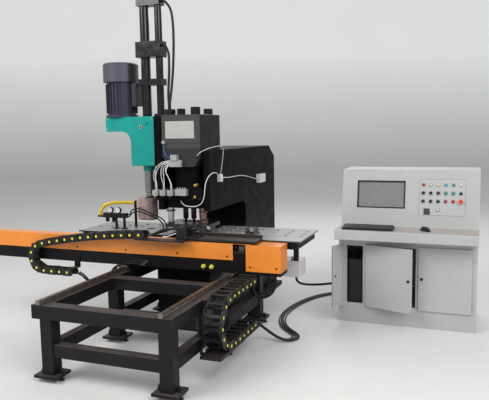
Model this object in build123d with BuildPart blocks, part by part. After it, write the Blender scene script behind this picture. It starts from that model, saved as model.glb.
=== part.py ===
from build123d import *
from math import asin, atan2, cos, degrees, hypot, pi, radians, sin, tan
import os

os.makedirs("parts", exist_ok=True)

# CNC plate punching and drilling machine with its operator console.
# The origin is the axis of the middle punch, projected to the floor.
# X runs along the cross beam, Y runs away from the operator's side, Z is up.

# C-frame
frame_half_width = 250
side_plate = 54
frame_front = -240
head_front = -190
frame_rear = 1550
jaw_top = 790
throat_top = 1060
throat_depth = 650
throat_radius = 80
frame_top = 1575
frame_bevel = (180, 120)
head_slot_rear = 206
slot_half = frame_half_width - side_plate
flange_half_width = frame_half_width + 80
flange_thickness = 40
anchor_hole_radius = 15
anchor_inset = 30
anchor_pitch = 560
saddle_half_depth = 110
saddle_bottom = 1250

# Base weldment
base_front = -1530
base_rear = 250
base_top = 550
member_height = 100
side_member_width = 120
side_member_right = 505
side_member_left = -485
leg_width = 100
leg_right = 515
leg_left = -430
mid_leg_y = -640
lower_bottom = 176
lower_height = 94
lower_width = 80
tube_corner = 7
foot_plate_bottom = 30
foot_plate = 20
foot_length = 190
foot_depth = 170
levelling_bolt_radius = 10
levelling_bolt_inset = 18
levelling_bolt_top = 34
levelling_nut_radius = 15
levelling_nut_height = 16
pad_radius = 21
pad_height = 8

# Guides of the cross travel
rail_x = 488
rail_width = 34
rail_height = 30
rail_front = base_front
rail_rear = -236
rail_lip = 10
rail_waist = 5
block_width = 84
block_top = 597
running_gap = 0.3

# Cross beam, at its place nearest to the punch
beam_left = -2140
beam_right = 650
beam_front = -430
beam_depth = 160
beam_height = 173
cover_sheet = 3
cover_gap = 3
cover_bottom = 705
cover_top = 840
cover_right = 550
slit_depth = 52
motor_box_left = 663
motor_box_right = 955
motor_box_bottom = 623
motor_box_top = cover_top - cover_sheet
x_rail_width = 23
x_rail_height = 20

# Workpiece carriage and clamps
carriage_left = 130
carriage_right = 750
carriage_plate = 16
carriage_bottom = 852
lip_height = 26
clamp_x = (250, 640)
clamp_width = 90
clamp_front = -110
lower_jaw = 10
jaw_pivot_z = 922

# Tables
table_top = 850
table_plate = 12
table_right = 1058
table_left = -table_right
table_inner = 140
table_near = -260
table_far = 345
table_overhang = 26
drill_opening = 45
ball_radius = 11
ball_rise = 12

# Punch station
punch_pitch = 80
punch_radius = 24
die_radius = 34
die_bore = 12
die_block_half = 130
die_block_depth = 200
die_proud = 8
die_length = 38
pass_line = table_top + ball_rise
head_side_gap = 14
head_half_width = slot_half - head_side_gap
head_taper_width = 62
head_taper_height = 90
head_box_front = -215
head_box_rear = 205
head_box_bottom = 1440
head_box_step = 1640
head_box_top = 1885
guide_bottom = 1080
ram_gap = 0.3
stripper_post = 27
bush_wall = 7
bush_gap = 4
stripper_x = slot_half - stripper_post - bush_wall - bush_gap
stripper_y = -134
guide_half = stripper_x - 8
guide_wall = 32
cavity_half = guide_half - guide_wall
cavity_depth = 58
guide_top = guide_bottom + 170
cavity_top = guide_bottom + 220
cylinder_radius = 148
rod_radius = 55
bush_top = guide_bottom + 152
bush_bore_top = guide_bottom + 135
selector_plate_thickness = 25
selector_plate_left = -guide_half - 112
selector_plate_right = guide_half + 40
selector_plate_bottom = guide_bottom + 70
selector_plate_top = guide_bottom + 182

# Drill unit
drill_x = -440
casting_left = -812
casting_right = -311
casting_top = 1880
casting_bottom = 1440
casting_half_depth = 120
arm_bottom = 1750
column_left = -555
quill_radius = 46
bore_gap = 0.05
quill_bottom = 1190
motor_x = -705
foot_rod = 9
foot_rods = ((-400, 88), (-345, 40))
column_top = 2905
feed_column_radius = 42
guide_column_x = -300
guide_column_radius = 33
foot_top = 1142
foot_bottom = 936
foot_floor = 20
foot_radius = 66
foot_wall = 11
foot_ear = 26
lobe_x = drill_x - 76
lobe_radius = 54
drill_hole = 30
motor_flange = 20
motor_flange_radius = 148
motor_body_radius = 128
motor_body_top = 2195
fan_cover_radius = 160
fan_cover_height = 170
fin_count = 24

# Cable chains
chain_pitch = 84
link_height = 64
link_plate = 9
link_lap = 16
link_bevel = 18
x_chain_front = -535
x_chain_rear = -446
x_chain_low = 517
x_chain_bend_x = -1278
x_chain_radius = 121.5
x_chain_rise = 12
x_chain_fixed_end = -960
x_chain_apex = -18
x_chain_moving_end = -212
y_chain_left = 604
y_chain_right = 752
y_chain_low = 200
y_chain_radius = 178
y_chain_bend_y = -960
y_chain_end = -436

# Console
console_left = 1221
console_right = 2391
console_front = 460
console_rear = 1060
cabinet_top = 780
sheet = 3
plinth_top = 150
desk_left = 1215
desk_right = 2397
desk_front = 280
desk_top = 866
slope_foot_y = 590
slope_top_y = 680
console_top = 1370
door_thickness = 15
door_gap = 0.5
door_bottom = 158
door_top = 718
hinge_radius = 7
hinge_inset = 1
left_door = (1284, 160, 120)
middle_door = (1462, 430, 17)
right_door_hinge = 2352
right_door_width = 436


def span(low_x, high_x, low_y, high_y, low_z, high_z, mode=Mode.ADD):
    """Add a box between two corners to the part that is being built."""
    centre = ((low_x + high_x) / 2, (low_y + high_y) / 2, (low_z + high_z) / 2)
    with Locations(centre):
        Box(high_x - low_x, high_y - low_y, high_z - low_z, mode=mode)


def bar(low_x, high_x, low_y, high_y, low_z, high_z, corner=0, along=Axis.X):
    """One straight member as a solid of its own, with rounded long edges."""
    with BuildPart() as member:
        span(low_x, high_x, low_y, high_y, low_z, high_z)
        if corner:
            fillet(member.edges().filter_by(along), corner)
    return member.part


def group(name, solids):
    """Write several separate solids of one node."""
    node = Compound(label=name, children=list(solids))
    export_step(node, f"parts/{name}.step")
    return node


def write(name, builder):
    """Label one finished part and write it."""
    builder.part.label = name
    export_step(builder.part, f"parts/{name}.step")


def eased(places, step):
    """Points at even steps along a smooth curve.

    The first and last runs stay straight, square to what they join.
    """
    curve = Spline(*places[1:-1])
    count = max(3, round(curve.length / step))
    inner = [tuple(round(value, 1) for value in (curve @ (number / count))) for number in range(count + 1)]
    return [places[0]] + inner + [places[-1]]


def corner_radii(points, share=0.45):
    """Arc radius at each inner point of a route.

    It is a share of the point's shorter run over the tangent of half its turn.
    """
    radii = []
    for before, here, after in zip(points, points[1:], points[2:]):
        into = Vector(*here) - Vector(*before)
        out = Vector(*after) - Vector(*here)
        turn = radians(into.get_angle(out))
        radii.append(share * min(into.length, out.length) / tan(turn / 2))
    return radii


def tube_along(name, points, radius):
    """A cable or hose along straight runs and tangent arcs."""
    radii = corner_radii(points)
    with BuildPart() as tube:
        with BuildLine() as route:
            FilletPolyline(*points, radius=radii)
        start = route.wire() @ 0
        heading = route.wire() % 0
        with BuildSketch(Plane(origin=start, z_dir=heading)):
            Circle(radius)
        sweep(path=route.wire())
    length = route.wire().length
    filled = tube.part.volume / (pi * radius * radius * length)
    print(name, "length", round(length), "fill", round(filled, 3), "radii", [round(r) for r in radii])
    return tube.part


def cylinder_between(low_z, high_z, radius, x, y, mode=Mode.ADD):
    """Add an upright cylinder to the part that is being built."""
    with Locations((x, y, (low_z + high_z) / 2)):
        Cylinder(radius, high_z - low_z, mode=mode)


# C-frame: a side outline with a rounded throat, with a slot for the punch head
with BuildPart() as c_frame:
    with BuildSketch(Plane.YZ.offset(-frame_half_width)) as outline:
        with BuildLine():
            Polyline(
                (frame_front, 0),
                (frame_rear, 0),
                (frame_rear, frame_top - frame_bevel[1]),
                (frame_rear - frame_bevel[0], frame_top),
                (head_front, frame_top),
                (head_front, throat_top),
                (throat_depth, throat_top),
                (throat_depth, jaw_top),
                (frame_front, jaw_top),
                close=True,
            )
        make_face()
        throat = outline.vertices().filter_by_position(Axis.X, throat_depth - 1, throat_depth + 1)
        fillet(throat, throat_radius)
    extrude(amount=2 * frame_half_width)
    span(-slot_half, slot_half, head_front, head_slot_rear, throat_top, frame_top, Mode.SUBTRACT)
    span(-flange_half_width, flange_half_width, frame_front, frame_rear, 0, flange_thickness)
    with Locations((0, (frame_front + frame_rear) / 2, 0)):
        with GridLocations(2 * (flange_half_width - anchor_inset), anchor_pitch, 2, 3):
            Cylinder(anchor_hole_radius, 4 * flange_thickness, mode=Mode.SUBTRACT)
    # Saddle on the left side that carries the drill unit
    for low, high in ((saddle_bottom, frame_top), (frame_top, casting_top)):
        span(casting_right, -frame_half_width, -saddle_half_depth, saddle_half_depth, low, high)
write("c_frame", c_frame)

# Base weldment: legs, side members, cross members and the brackets of the tables
leg_top = base_top - member_height
leg_bottom = foot_plate_bottom + foot_plate
leg_half = leg_width / 2
leg_rows = (base_front + leg_half, mid_leg_y, base_rear - leg_half)
half_member = side_member_width / 2
inner_right = side_member_right - half_member
inner_left = side_member_left + half_member
lower_top = lower_bottom + lower_height
half_lower = lower_width / 2
members = []
for leg_x in (leg_left, leg_right):
    for leg_y in leg_rows:
        members.append(
            bar(leg_x - leg_half, leg_x + leg_half, leg_y - leg_half, leg_y + leg_half,
                leg_bottom, leg_top, tube_corner, Axis.Z))
for member_x in (side_member_left, side_member_right):
    members.append(
        bar(member_x - half_member, member_x + half_member, base_front, base_rear,
            leg_top, base_top, tube_corner, Axis.Y))
for row_y in leg_rows[:2]:
    members.append(
        bar(inner_left, inner_right, row_y - leg_half, row_y + leg_half,
            leg_top, base_top, tube_corner, Axis.X))
    members.append(
        bar(leg_left + leg_half, leg_right - leg_half, row_y - half_lower, row_y + half_lower,
            lower_bottom, lower_top, tube_corner, Axis.X))
for leg_x in (leg_left, leg_right):
    for near_y, far_y in zip(leg_rows, leg_rows[1:]):
        members.append(
            bar(leg_x - half_lower, leg_x + half_lower, near_y + leg_half, far_y - leg_half,
                lower_bottom, lower_top, tube_corner, Axis.Y))
# Ties from the rear legs to the C-frame
for low, high in ((frame_half_width, inner_right), (inner_left, -frame_half_width)):
    members.append(bar(low, high, leg_rows[2] - leg_half, leg_rows[2] + leg_half, leg_top, base_top))
# Table supports: posts on the side members and a perimeter frame under each table
support_rail = 60
support_width = 40
support_top = table_top - table_plate
support_bottom = support_top - support_rail
support_near = table_near + table_overhang
support_far = table_far - table_overhang
strut_foot_bottom = base_top + 10
strut_foot_top = base_top + 60
for side in (-1, 1):
    outer = (table_right if side > 0 else -table_left) - table_overhang
    inner = frame_half_width
    post_x = side_member_right if side > 0 else -side_member_left
    for row_y in (support_near, support_far - support_width):
        low, high = sorted((side * inner, side * outer))
        members.append(bar(low, high, row_y, row_y + support_width, support_bottom, support_top))
    low, high = sorted((side * (outer - support_width), side * outer))
    members.append(
        bar(low, high, support_near + support_width, support_far - support_width,
            support_bottom, support_top))
    for post_y in (support_near, base_rear - support_width):
        low, high = sorted((side * (post_x - support_width / 2), side * (post_x + support_width / 2)))
        members.append(bar(low, high, post_y, post_y + support_width, base_top, support_bottom))
    # Slanted strut from the C-frame to the outer end of the table
    with BuildPart() as strut:
        with BuildSketch(Plane.XZ.offset(support_width - support_far)):
            with BuildLine():
                Polyline(
                    (side * frame_half_width, strut_foot_bottom),
                    (side * frame_half_width, strut_foot_top),
                    (side * (outer - 60), support_bottom),
                    (side * outer, support_bottom),
                    close=True,
                )
            make_face()
        extrude(amount=-support_width)
    members.append(strut.part)
group("base_weldment", members)

# Levelling feet: a foot plate on two bolts with round pads
feet = []
for leg_x in (leg_left, leg_right):
    for leg_y in leg_rows:
        with BuildPart() as foot:
            span(leg_x - foot_length / 2, leg_x + foot_length / 2, leg_y - foot_depth / 2,
                 leg_y + foot_depth / 2, foot_plate_bottom, foot_plate_bottom + foot_plate)
            for side in (-1, 1):
                bolt_x = leg_x + side * (foot_length / 2 - levelling_bolt_inset)
                cylinder_between(pad_height, foot_plate_bottom, levelling_bolt_radius, bolt_x, leg_y)
                cylinder_between(0, pad_height, pad_radius, bolt_x, leg_y)
                with BuildSketch(Plane.XY.offset(foot_plate_bottom + foot_plate)):
                    with Locations((bolt_x, leg_y)):
                        RegularPolygon(levelling_nut_radius, 6)
                extrude(amount=levelling_nut_height)
                cylinder_between(leg_bottom + levelling_nut_height, leg_bottom + levelling_bolt_top,
                                 levelling_bolt_radius, bolt_x, leg_y)
        feet.append(foot.part)
group("levelling_feet", feet)

# Rails of the cross travel, with waisted sides
half_rail = rail_width / 2
rail_length = rail_rear - rail_front
rails = []
for side in (-1, 1):
    with BuildPart() as rail:
        with BuildSketch(Plane.XZ.offset(-rail_front)):
            with BuildLine():
                Polyline(
                    (side * rail_x - half_rail, base_top),
                    (side * rail_x + half_rail, base_top),
                    (side * rail_x + half_rail, base_top + rail_lip),
                    (side * rail_x + half_rail - rail_waist, base_top + rail_height / 2),
                    (side * rail_x + half_rail, base_top + rail_height - rail_lip),
                    (side * rail_x + half_rail, base_top + rail_height),
                    (side * rail_x - half_rail, base_top + rail_height),
                    (side * rail_x - half_rail, base_top + rail_height - rail_lip),
                    (side * rail_x - half_rail + rail_waist, base_top + rail_height / 2),
                    (side * rail_x - half_rail, base_top + rail_lip),
                    close=True,
                )
            make_face()
        extrude(amount=-rail_length)
    rails.append(rail.part)
group("y_rails", rails)

# Servo gearbox and motor of the cross travel, on the right side member
gearbox_inner = side_member_right + half_member
gearbox_y = -1010
gearbox_half = 55
gearbox_depth = 34
gearbox_bottom = base_top - 122
servo_x = gearbox_inner - 24
servo_bottom = gearbox_bottom - 128
with BuildPart() as y_drive_motor:
    span(gearbox_inner, gearbox_inner + gearbox_depth, gearbox_y - gearbox_half, gearbox_y + gearbox_half,
         gearbox_bottom, base_top + 2)
    span(gearbox_inner - 74, gearbox_inner + 30, gearbox_y - 48, gearbox_y + 48,
         gearbox_bottom, leg_top - 2)
    cylinder_between(servo_bottom, gearbox_bottom, 46, servo_x, gearbox_y)
    cylinder_between(servo_bottom - 18, servo_bottom, 38, servo_x, gearbox_y)
    shaft_cap = (gearbox_inner + gearbox_depth / 2, gearbox_y - gearbox_half, base_top - 50)
    with Locations(Plane(shaft_cap, z_dir=(0, -1, 0))):
        Cylinder(16, 12, align=(Align.CENTER, Align.CENTER, Align.MIN))
write("y_drive_motor", y_drive_motor)

# Tables with ball units; the drill works through a hole in the left one
tables = []
ball_columns = 7
ball_rows = 3
for side in (-1, 1):
    edge = table_right if side > 0 else -table_left
    with BuildPart() as table:
        low, high = sorted((side * table_inner, side * edge))
        span(low, high, table_near, table_far, table_top - table_plate, table_top)
        chamfer(table.faces().sort_by(Axis.Z)[-1].edges(), 1.5)
        if side < 0:
            cylinder_between(table_top - 2 * table_plate, table_top + 1, drill_opening, drill_x, 0,
                             Mode.SUBTRACT)
    tables.append(table.part)
group("tables", tables)

balls = []
for side in (-1, 1):
    edge = table_right if side > 0 else -table_left
    for column in range(ball_columns):
        for row in range(ball_rows):
            ball_x = side * (table_inner + 60 + column * (edge - table_inner - 120) / (ball_columns - 1))
            ball_y = -8 + row * (table_far - 20) / ball_rows
            if hypot(ball_x - drill_x, ball_y) < 110:
                continue
            with BuildPart() as ball:
                with BuildSketch(Plane.XZ.offset(-ball_y)):
                    with BuildLine():
                        Polyline(
                            (ball_x, table_top),
                            (ball_x + 1.6 * ball_radius, table_top),
                            (ball_x + 1.4 * ball_radius, table_top + 3),
                            (ball_x + 0.9 * ball_radius, table_top + 4),
                            (ball_x + 0.55 * ball_radius, table_top + 0.86 * ball_rise),
                            (ball_x, pass_line),
                            close=True,
                        )
                    make_face()
                revolve(axis=Axis((ball_x, ball_y, 0), (0, 0, 1)))
            balls.append(ball.part)
group("ball_units", balls)

# Die block with three dies in a row on the lower jaw
half_block = die_block_depth / 2
block_top_z = pass_line - die_proud
with BuildPart() as block:
    span(-die_block_half, die_block_half, -half_block, half_block, jaw_top, block_top_z)
    chamfer(block.edges().filter_by(Axis.Z), 12)
    for station in (-1, 0, 1):
        cylinder_between(pass_line - die_length, pass_line, die_radius, station * punch_pitch, 0,
                         Mode.SUBTRACT)
dies = []
for station in (-1, 0, 1):
    with BuildPart() as die:
        cylinder_between(pass_line - die_length, pass_line, die_radius, station * punch_pitch, 0)
        chamfer(die.edges().sort_by(Axis.Z)[-1], 2)
        cylinder_between(pass_line - 60, pass_line + 10, die_bore, station * punch_pitch, 0, Mode.SUBTRACT)
    dies.append(die.part)
group("die_block", [block.part] + dies)

# Head cover: a box with a tapered lower front and three caps on top
with BuildPart() as cover:
    with BuildSketch(Plane.XZ.offset(-head_box_front)):
        with BuildLine():
            Polyline(
                (-head_half_width, head_box_top),
                (head_half_width, head_box_top),
                (head_half_width, head_box_bottom + head_taper_height),
                (head_half_width - head_taper_width, head_box_bottom),
                (-head_half_width + head_taper_width, head_box_bottom),
                (-head_half_width, head_box_bottom + head_taper_height),
                close=True,
            )
        make_face()
    extrude(amount=-(head_box_rear - head_box_front))
    fillet(cover.edges().filter_by(Axis.Y).group_by(Axis.Z)[-1], 6)
    span(-head_half_width - 1, head_half_width + 1, head_box_front - 1, head_box_front + 3,
         head_box_step - 2, head_box_step + 2, Mode.SUBTRACT)
head_pieces = [cover.part]
for cap_x, cap_y, cap_radius, cap_height in ((-128, 60, 38, 60), (16, 55, 43, 72), (132, 70, 40, 52)):
    with BuildPart() as cap:
        cylinder_between(head_box_top, head_box_top + cap_height, cap_radius, cap_x, cap_y)
        chamfer(cap.edges().sort_by(Axis.Z)[-1], 5)
    head_pieces.append(cap.part)
with BuildPart() as port_block:
    span(-172, -104, -170, -100, head_box_top, head_box_top + 50)
    with Locations(Plane((-104, -135, head_box_top + 28), z_dir=(1, 0, 0))):
        Cylinder(14, 16, align=(Align.CENTER, Align.CENTER, Align.MIN))
head_pieces.append(port_block.part)
group("head_box", head_pieces)

# Press cylinder and guide housing below the head, open at the bottom for the ram
with BuildPart() as punch_guide:
    span(-guide_half, guide_half, head_front, 150, guide_bottom, guide_top)
    chamfer(punch_guide.edges().filter_by(Axis.Z), 10)
    cylinder_between(guide_top, head_box_bottom, cylinder_radius, 0, -20)
    span(-cavity_half, cavity_half, -cavity_depth, cavity_depth, guide_bottom - 1, cavity_top - 60,
         Mode.SUBTRACT)
    cylinder_between(cavity_top - 61, head_box_bottom - 40, rod_radius, 0, 0, Mode.SUBTRACT)
    # Two bushes for the posts of the hold-down
    for side in (-1, 1):
        cylinder_between(guide_bottom, bush_top, stripper_post + bush_wall, side * stripper_x, stripper_y)
        cylinder_between(guide_bottom - 1, bush_bore_top, stripper_post + bore_gap, side * stripper_x,
                         stripper_y, Mode.SUBTRACT)
    # Plate across the front that carries the selector cylinders
    span(selector_plate_left, selector_plate_right, head_front - selector_plate_thickness, head_front,
         selector_plate_bottom, selector_plate_top)
write("punch_guide", punch_guide)

# Ram with its rod and three punches
punch_tip = 900
with BuildPart() as punch_ram:
    span(-cavity_half + ram_gap, cavity_half - ram_gap, -cavity_depth + ram_gap, cavity_depth - ram_gap,
         guide_bottom + 25, cavity_top - 80)
    cylinder_between(cavity_top - 80, head_box_bottom - 100, rod_radius - ram_gap, 0, 0)
    for station in (-1, 0, 1):
        cylinder_between(960, guide_bottom + 25, punch_radius, station * punch_pitch, 0)
        cylinder_between(punch_tip, 960, die_bore - 1, station * punch_pitch, 0)
    shoulders = punch_ram.edges().filter_by(GeomType.CIRCLE).group_by(Axis.Z)[1]
    chamfer(shoulders.sort_by(SortBy.RADIUS)[-3:], 5)
write("punch_ram", punch_ram)

# Hold-down: a plate with a window for the punches, on two steel posts that slide in the head's underside
plate_half = stripper_x + 57
window_depth = punch_radius + 12
window_half = punch_pitch + window_depth
with BuildPart() as hold_down:
    span(-plate_half, plate_half, -178, 110, 905, 935)
    chamfer(hold_down.edges().filter_by(Axis.Z), 25)
    span(-window_half, window_half, -window_depth, window_depth, 904, 936, Mode.SUBTRACT)
    for side in (-1, 1):
        cylinder_between(935, 1180, stripper_post, side * stripper_x, stripper_y)
        cylinder_between(throat_top - 16, throat_top - 4, stripper_post + 12, side * stripper_x, stripper_y)
write("hold_down", hold_down)

# Valve manifold and three selector cylinders at the front of the head
cylinder_front = head_front - selector_plate_thickness
pneumatics = []
with BuildPart() as manifold:
    span(-98, 12, head_box_front - 40, head_box_front, 1442, 1500)
    span(-80, -20, head_box_front - 55, head_box_front, 1500, 1545)
    chamfer(manifold.edges().filter_by(Axis.Z), 3)
pneumatics.append(manifold.part)
for cylinder_x in (-232, -160, -88):
    with BuildPart() as selector:
        with BuildSketch(Plane.XZ.offset(-cylinder_front)):
            with Locations((cylinder_x, 1218)):
                RectangleRounded(50, 50, 8)
        extrude(amount=66)
        with Locations(Plane((cylinder_x, cylinder_front - 66, 1218), z_dir=(0, -1, 0))):
            Cylinder(12, 10, align=(Align.CENTER, Align.CENTER, Align.MIN))
        rear_port = (cylinder_x - 12, cylinder_front - 20, 1243)
        front_port = (cylinder_x + 12, cylinder_front - 48, 1243)
        with Locations(rear_port, front_port):
            Cylinder(6, 14, align=(Align.CENTER, Align.CENTER, Align.MIN))
    pneumatics.append(selector.part)
with BuildPart() as exhaust_block:
    span(-48, 56, cylinder_front - 46, cylinder_front, 1196, 1252)
    with GridLocations(24, 1, 4, 1) as outlets:
        outlet_places = [location.position for location in outlets]
    with Locations(*[(4 + place.X, cylinder_front - 24, 1252) for place in outlet_places]):
        Cylinder(6, 12, align=(Align.CENTER, Align.CENTER, Align.MIN))
pneumatics.append(exhaust_block.part)
pneumatics.append(bar(-172, -148, head_box_front - 26, head_box_front, 1640, 1664))
group("pneumatic_valves", pneumatics)

# Drill head casting: a gooseneck outline with a nose ring and a bore for the quill
with BuildPart() as drill_casting:
    with BuildSketch(Plane.XZ.offset(casting_half_depth)) as gooseneck:
        with BuildLine():
            Polyline(
                (casting_right, casting_top),
                (casting_left, casting_top),
                (casting_left, arm_bottom),
                (column_left, arm_bottom),
                (column_left, casting_bottom),
                (casting_right, casting_bottom),
                close=True,
            )
        make_face()
        corners = gooseneck.vertices()
        inside = corners.sort_by(Axis.X).filter_by_position(Axis.X, column_left - 1, column_left + 1)
        fillet(inside.sort_by(Axis.Y)[-1], 95)
        fillet(gooseneck.vertices().sort_by(Axis.X)[:2], 14)
    extrude(amount=-2 * casting_half_depth)
    chamfer(drill_casting.faces().sort_by(Axis.Y)[0].edges(), 4)
    cylinder_between(casting_bottom - 52, casting_bottom, 54, drill_x, 0)
    cylinder_between(casting_bottom - 60, casting_top - 200, quill_radius + bore_gap, drill_x, 0,
                     Mode.SUBTRACT)
    for rod_x, rod_y in foot_rods:
        cylinder_between(casting_bottom - 1, casting_bottom + 160, foot_rod + bore_gap, rod_x, rod_y,
                         Mode.SUBTRACT)
    with Locations(Plane((-395, -casting_half_depth, 1825), z_dir=(0, -1, 0))):
        Cylinder(16, 10, align=(Align.CENTER, Align.CENTER, Align.MIN))
write("drill_casting", drill_casting)

# Quill, a steel sleeve that slides in the casting
spindle_radius = 28
with BuildPart() as drill_quill:
    cylinder_between(quill_bottom, casting_top - 240, quill_radius, drill_x, 0)
    chamfer(drill_quill.edges().sort_by(Axis.Z)[0], 4)
    cylinder_between(quill_bottom - 1, casting_top - 239, spindle_radius + bore_gap, drill_x, 0,
                     Mode.SUBTRACT)
write("drill_quill", drill_quill)

# Spindle with its chuck and twist drill
drill_tip = 1010
with BuildPart() as drill_spindle:
    cylinder_between(quill_bottom - 10, casting_top - 300, spindle_radius, drill_x, 0)
    with BuildSketch(Plane.XZ):
        with BuildLine():
            Polyline(
                (drill_x, quill_bottom - 1),
                (drill_x + 38, quill_bottom - 1),
                (drill_x + 38, quill_bottom - 26),
                (drill_x + 26, quill_bottom - 66),
                (drill_x + 11, quill_bottom - 66),
                (drill_x + 11, drill_tip + 6),
                (drill_x, drill_tip),
                close=True,
            )
        make_face()
    revolve(axis=Axis((drill_x, 0, 0), (0, 0, 1)))
write("drill_spindle", drill_spindle)

# Hold-down foot of the drill: a casting with a lobe, hung on two rods that slide in the casting above
with BuildPart() as drill_foot:
    with BuildSketch(Plane.XY.offset(foot_bottom)):
        with Locations((drill_x, 0)):
            Circle(foot_radius)
        with Locations((lobe_x, 0)):
            Circle(lobe_radius)
        make_hull()
    extrude(amount=foot_top - foot_bottom)
    chamfer(drill_foot.edges().group_by(Axis.Z)[0], 12)
    chamfer(drill_foot.edges().group_by(Axis.Z)[-1], 5)
    for rod_x, rod_y in foot_rods:
        cylinder_between(foot_top - foot_ear, foot_top, 2 * foot_rod, rod_x, rod_y)
        with BuildSketch(Plane.XY.offset(foot_top - foot_ear)):
            with Locations((rod_x, rod_y)):
                Circle(2 * foot_rod)
            with Locations((drill_x, 0)):
                Circle(foot_radius - foot_wall)
            make_hull()
        extrude(amount=foot_ear)
        cylinder_between(foot_top - 1, casting_bottom + 140, foot_rod, rod_x, rod_y)
    foot_inside = foot_bottom + foot_floor
    cylinder_between(foot_inside, foot_top + 1, foot_radius - foot_wall, drill_x, 0, Mode.SUBTRACT)
    cylinder_between(foot_bottom - 1, foot_inside + 1, drill_hole, drill_x, 0, Mode.SUBTRACT)
    cylinder_between(foot_top - 60, foot_top + 1, 16, lobe_x - 12, 0, Mode.SUBTRACT)
    # Pocket in the lobe's front
    span(lobe_x - 26, lobe_x + 12, -lobe_radius - 20, -lobe_radius + 16,
         foot_bottom + 46, foot_bottom + 120, Mode.SUBTRACT)
write("drill_foot", drill_foot)

# Drill motor: flange, ribbed body, fan cover and terminal box
body_bottom = casting_top + motor_flange
with BuildPart() as motor_body:
    cylinder_between(casting_top, body_bottom, motor_flange_radius, motor_x, 0)
    cylinder_between(body_bottom, motor_body_top, motor_body_radius, motor_x, 0)
    with Locations((motor_x, 0, (body_bottom + motor_body_top) / 2)):
        with PolarLocations(motor_body_radius + 4, fin_count):
            Box(20, 5, motor_body_top - body_bottom - 30)
    with BuildSketch(Plane.XY.offset(motor_body_top)):
        with Locations((motor_x, 0)):
            Circle(fan_cover_radius)
    extrude(amount=fan_cover_height)
    chamfer(motor_body.edges().sort_by(Axis.Z)[-1], 14)
    with BuildSketch(Plane.XY.offset(motor_body_top + fan_cover_height)):
        with Locations((motor_x, 0)):
            Circle(fan_cover_radius - 40)
            Circle(40, mode=Mode.SUBTRACT)
    extrude(amount=-8, mode=Mode.SUBTRACT)
with BuildPart() as terminal_box:
    box_inner = motor_x + motor_body_radius + 14
    span(box_inner, box_inner + 48, -62, 62, motor_body_top - 220, motor_body_top - 15)
    fillet(terminal_box.edges().filter_by(Axis.Z).sort_by(Axis.X)[-2:], 10)
group("drill_motor", [motor_body.part, terminal_box.part])

# Feed cylinder and guide column above the drill, tied by three blocks
with BuildPart() as feed_columns:
    cylinder_between(casting_top, column_top - 20, feed_column_radius, drill_x, 0)
    cylinder_between(casting_top, column_top - 20, guide_column_radius, guide_column_x, 0)
    span(guide_column_x - 45, guide_column_x + 42, -45, 45, casting_top, casting_top + 24)
    blocks = ((0, 52, column_top - 55, 55), (14, 62, casting_top + 523, 137), (0, 54, casting_top + 275, 57))
    for overhang, half_depth, block_low, height in blocks:
        block_right = guide_column_x + (42 if overhang else 38)
        span(drill_x - 52 - overhang, block_right, -half_depth, half_depth, block_low, block_low + height)
write("feed_columns", feed_columns)

# Two pressure hoses from the feed cylinder to the block on the head
hose_radius = 11
upper_hose = [
    (-261.5, 0, 2880), (-228, 0, 2880), (-178, -8, 2836), (-150, -16, 2740), (-134, -36, 2520),
    (-137, -66, 2230), (-140, -108, 2050), (-138, -134, 1985), (-138, -134, 1935.5),
]
lower_hose = [
    (-257.5, -20, 2500), (-226, -20, 2500), (-186, -38, 2446), (-172, -58, 2350), (-170, -72, 2210),
    (-172, -94, 2060), (-156, -114, 1985), (-156, -114, 1935.5),
]
hoses = [tube_along("hose", eased(places, 90), hose_radius) for places in (upper_hose, lower_hose)]

# Air service unit on the left table: a bar on two legs with two gauges
air_y = -70
hose_post_x = -640
hose_post_y = 60
hose_post_top = 1100
with BuildPart() as air_unit:
    span(-905, -655, air_y - 25, air_y + 25, 952, 996)
    chamfer(air_unit.edges().filter_by(Axis.Z), 6)
    for leg_place in (-772, -685):
        span(leg_place - 9, leg_place + 9, air_y - 9, air_y + 9, table_top + 8, 952)
        span(leg_place - 25, leg_place + 25, air_y - 25, air_y + 25, table_top, table_top + 8)
    for gauge_x in (-822, -737):
        span(gauge_x - 8, gauge_x + 8, air_y - 12, air_y + 12, 996, 1004)
        with Locations(Plane((gauge_x, air_y - 14, 1026), z_dir=(0, -1, 0))):
            Cylinder(28, 26)
    for bowl_x in (-868, -800):
        cylinder_between(912, 952, 18, bowl_x, air_y)
    span(hose_post_x - 6, hose_post_x + 6, hose_post_y - 14, hose_post_y + 14, table_top, hose_post_top)
    span(-965, -905, air_y - 18, air_y + 18, 954, 970)

# Two dark hoses from the air unit, in front of the drill's foot, to elbows on the left table
elbow_radius = 10
elbow_height = 24
elbows = []
for number, elbow_x in enumerate((-276, -242)):
    hose_z = 966 + 16 * number
    with BuildPart() as elbow:
        cylinder_between(table_top, table_top + elbow_height, elbow_radius, elbow_x, -72)
    elbows.append(elbow.part)
    places = [
        (-655, air_y - 10 + 20 * number, hose_z),
        (-626, air_y - 10 + 20 * number, hose_z),
        (-560, -106 - 8 * number, 1016 + 26 * number),
        (-470, -124 - 6 * number, 1026 + 26 * number),
        (-390, -120 - 6 * number, 994 + 24 * number),
        (-322 + 20 * number, -104, 968 + 14 * number),
        (elbow_x - 12, -80, 936 + 8 * number),
        (elbow_x, -72, 904),
        (elbow_x, -72, table_top + elbow_height),
    ]
    hoses.append(tube_along("air hose", eased(places, 60), 6))
group("hydraulic_hoses", hoses)
group("air_unit", [air_unit.part] + elbows)

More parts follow.
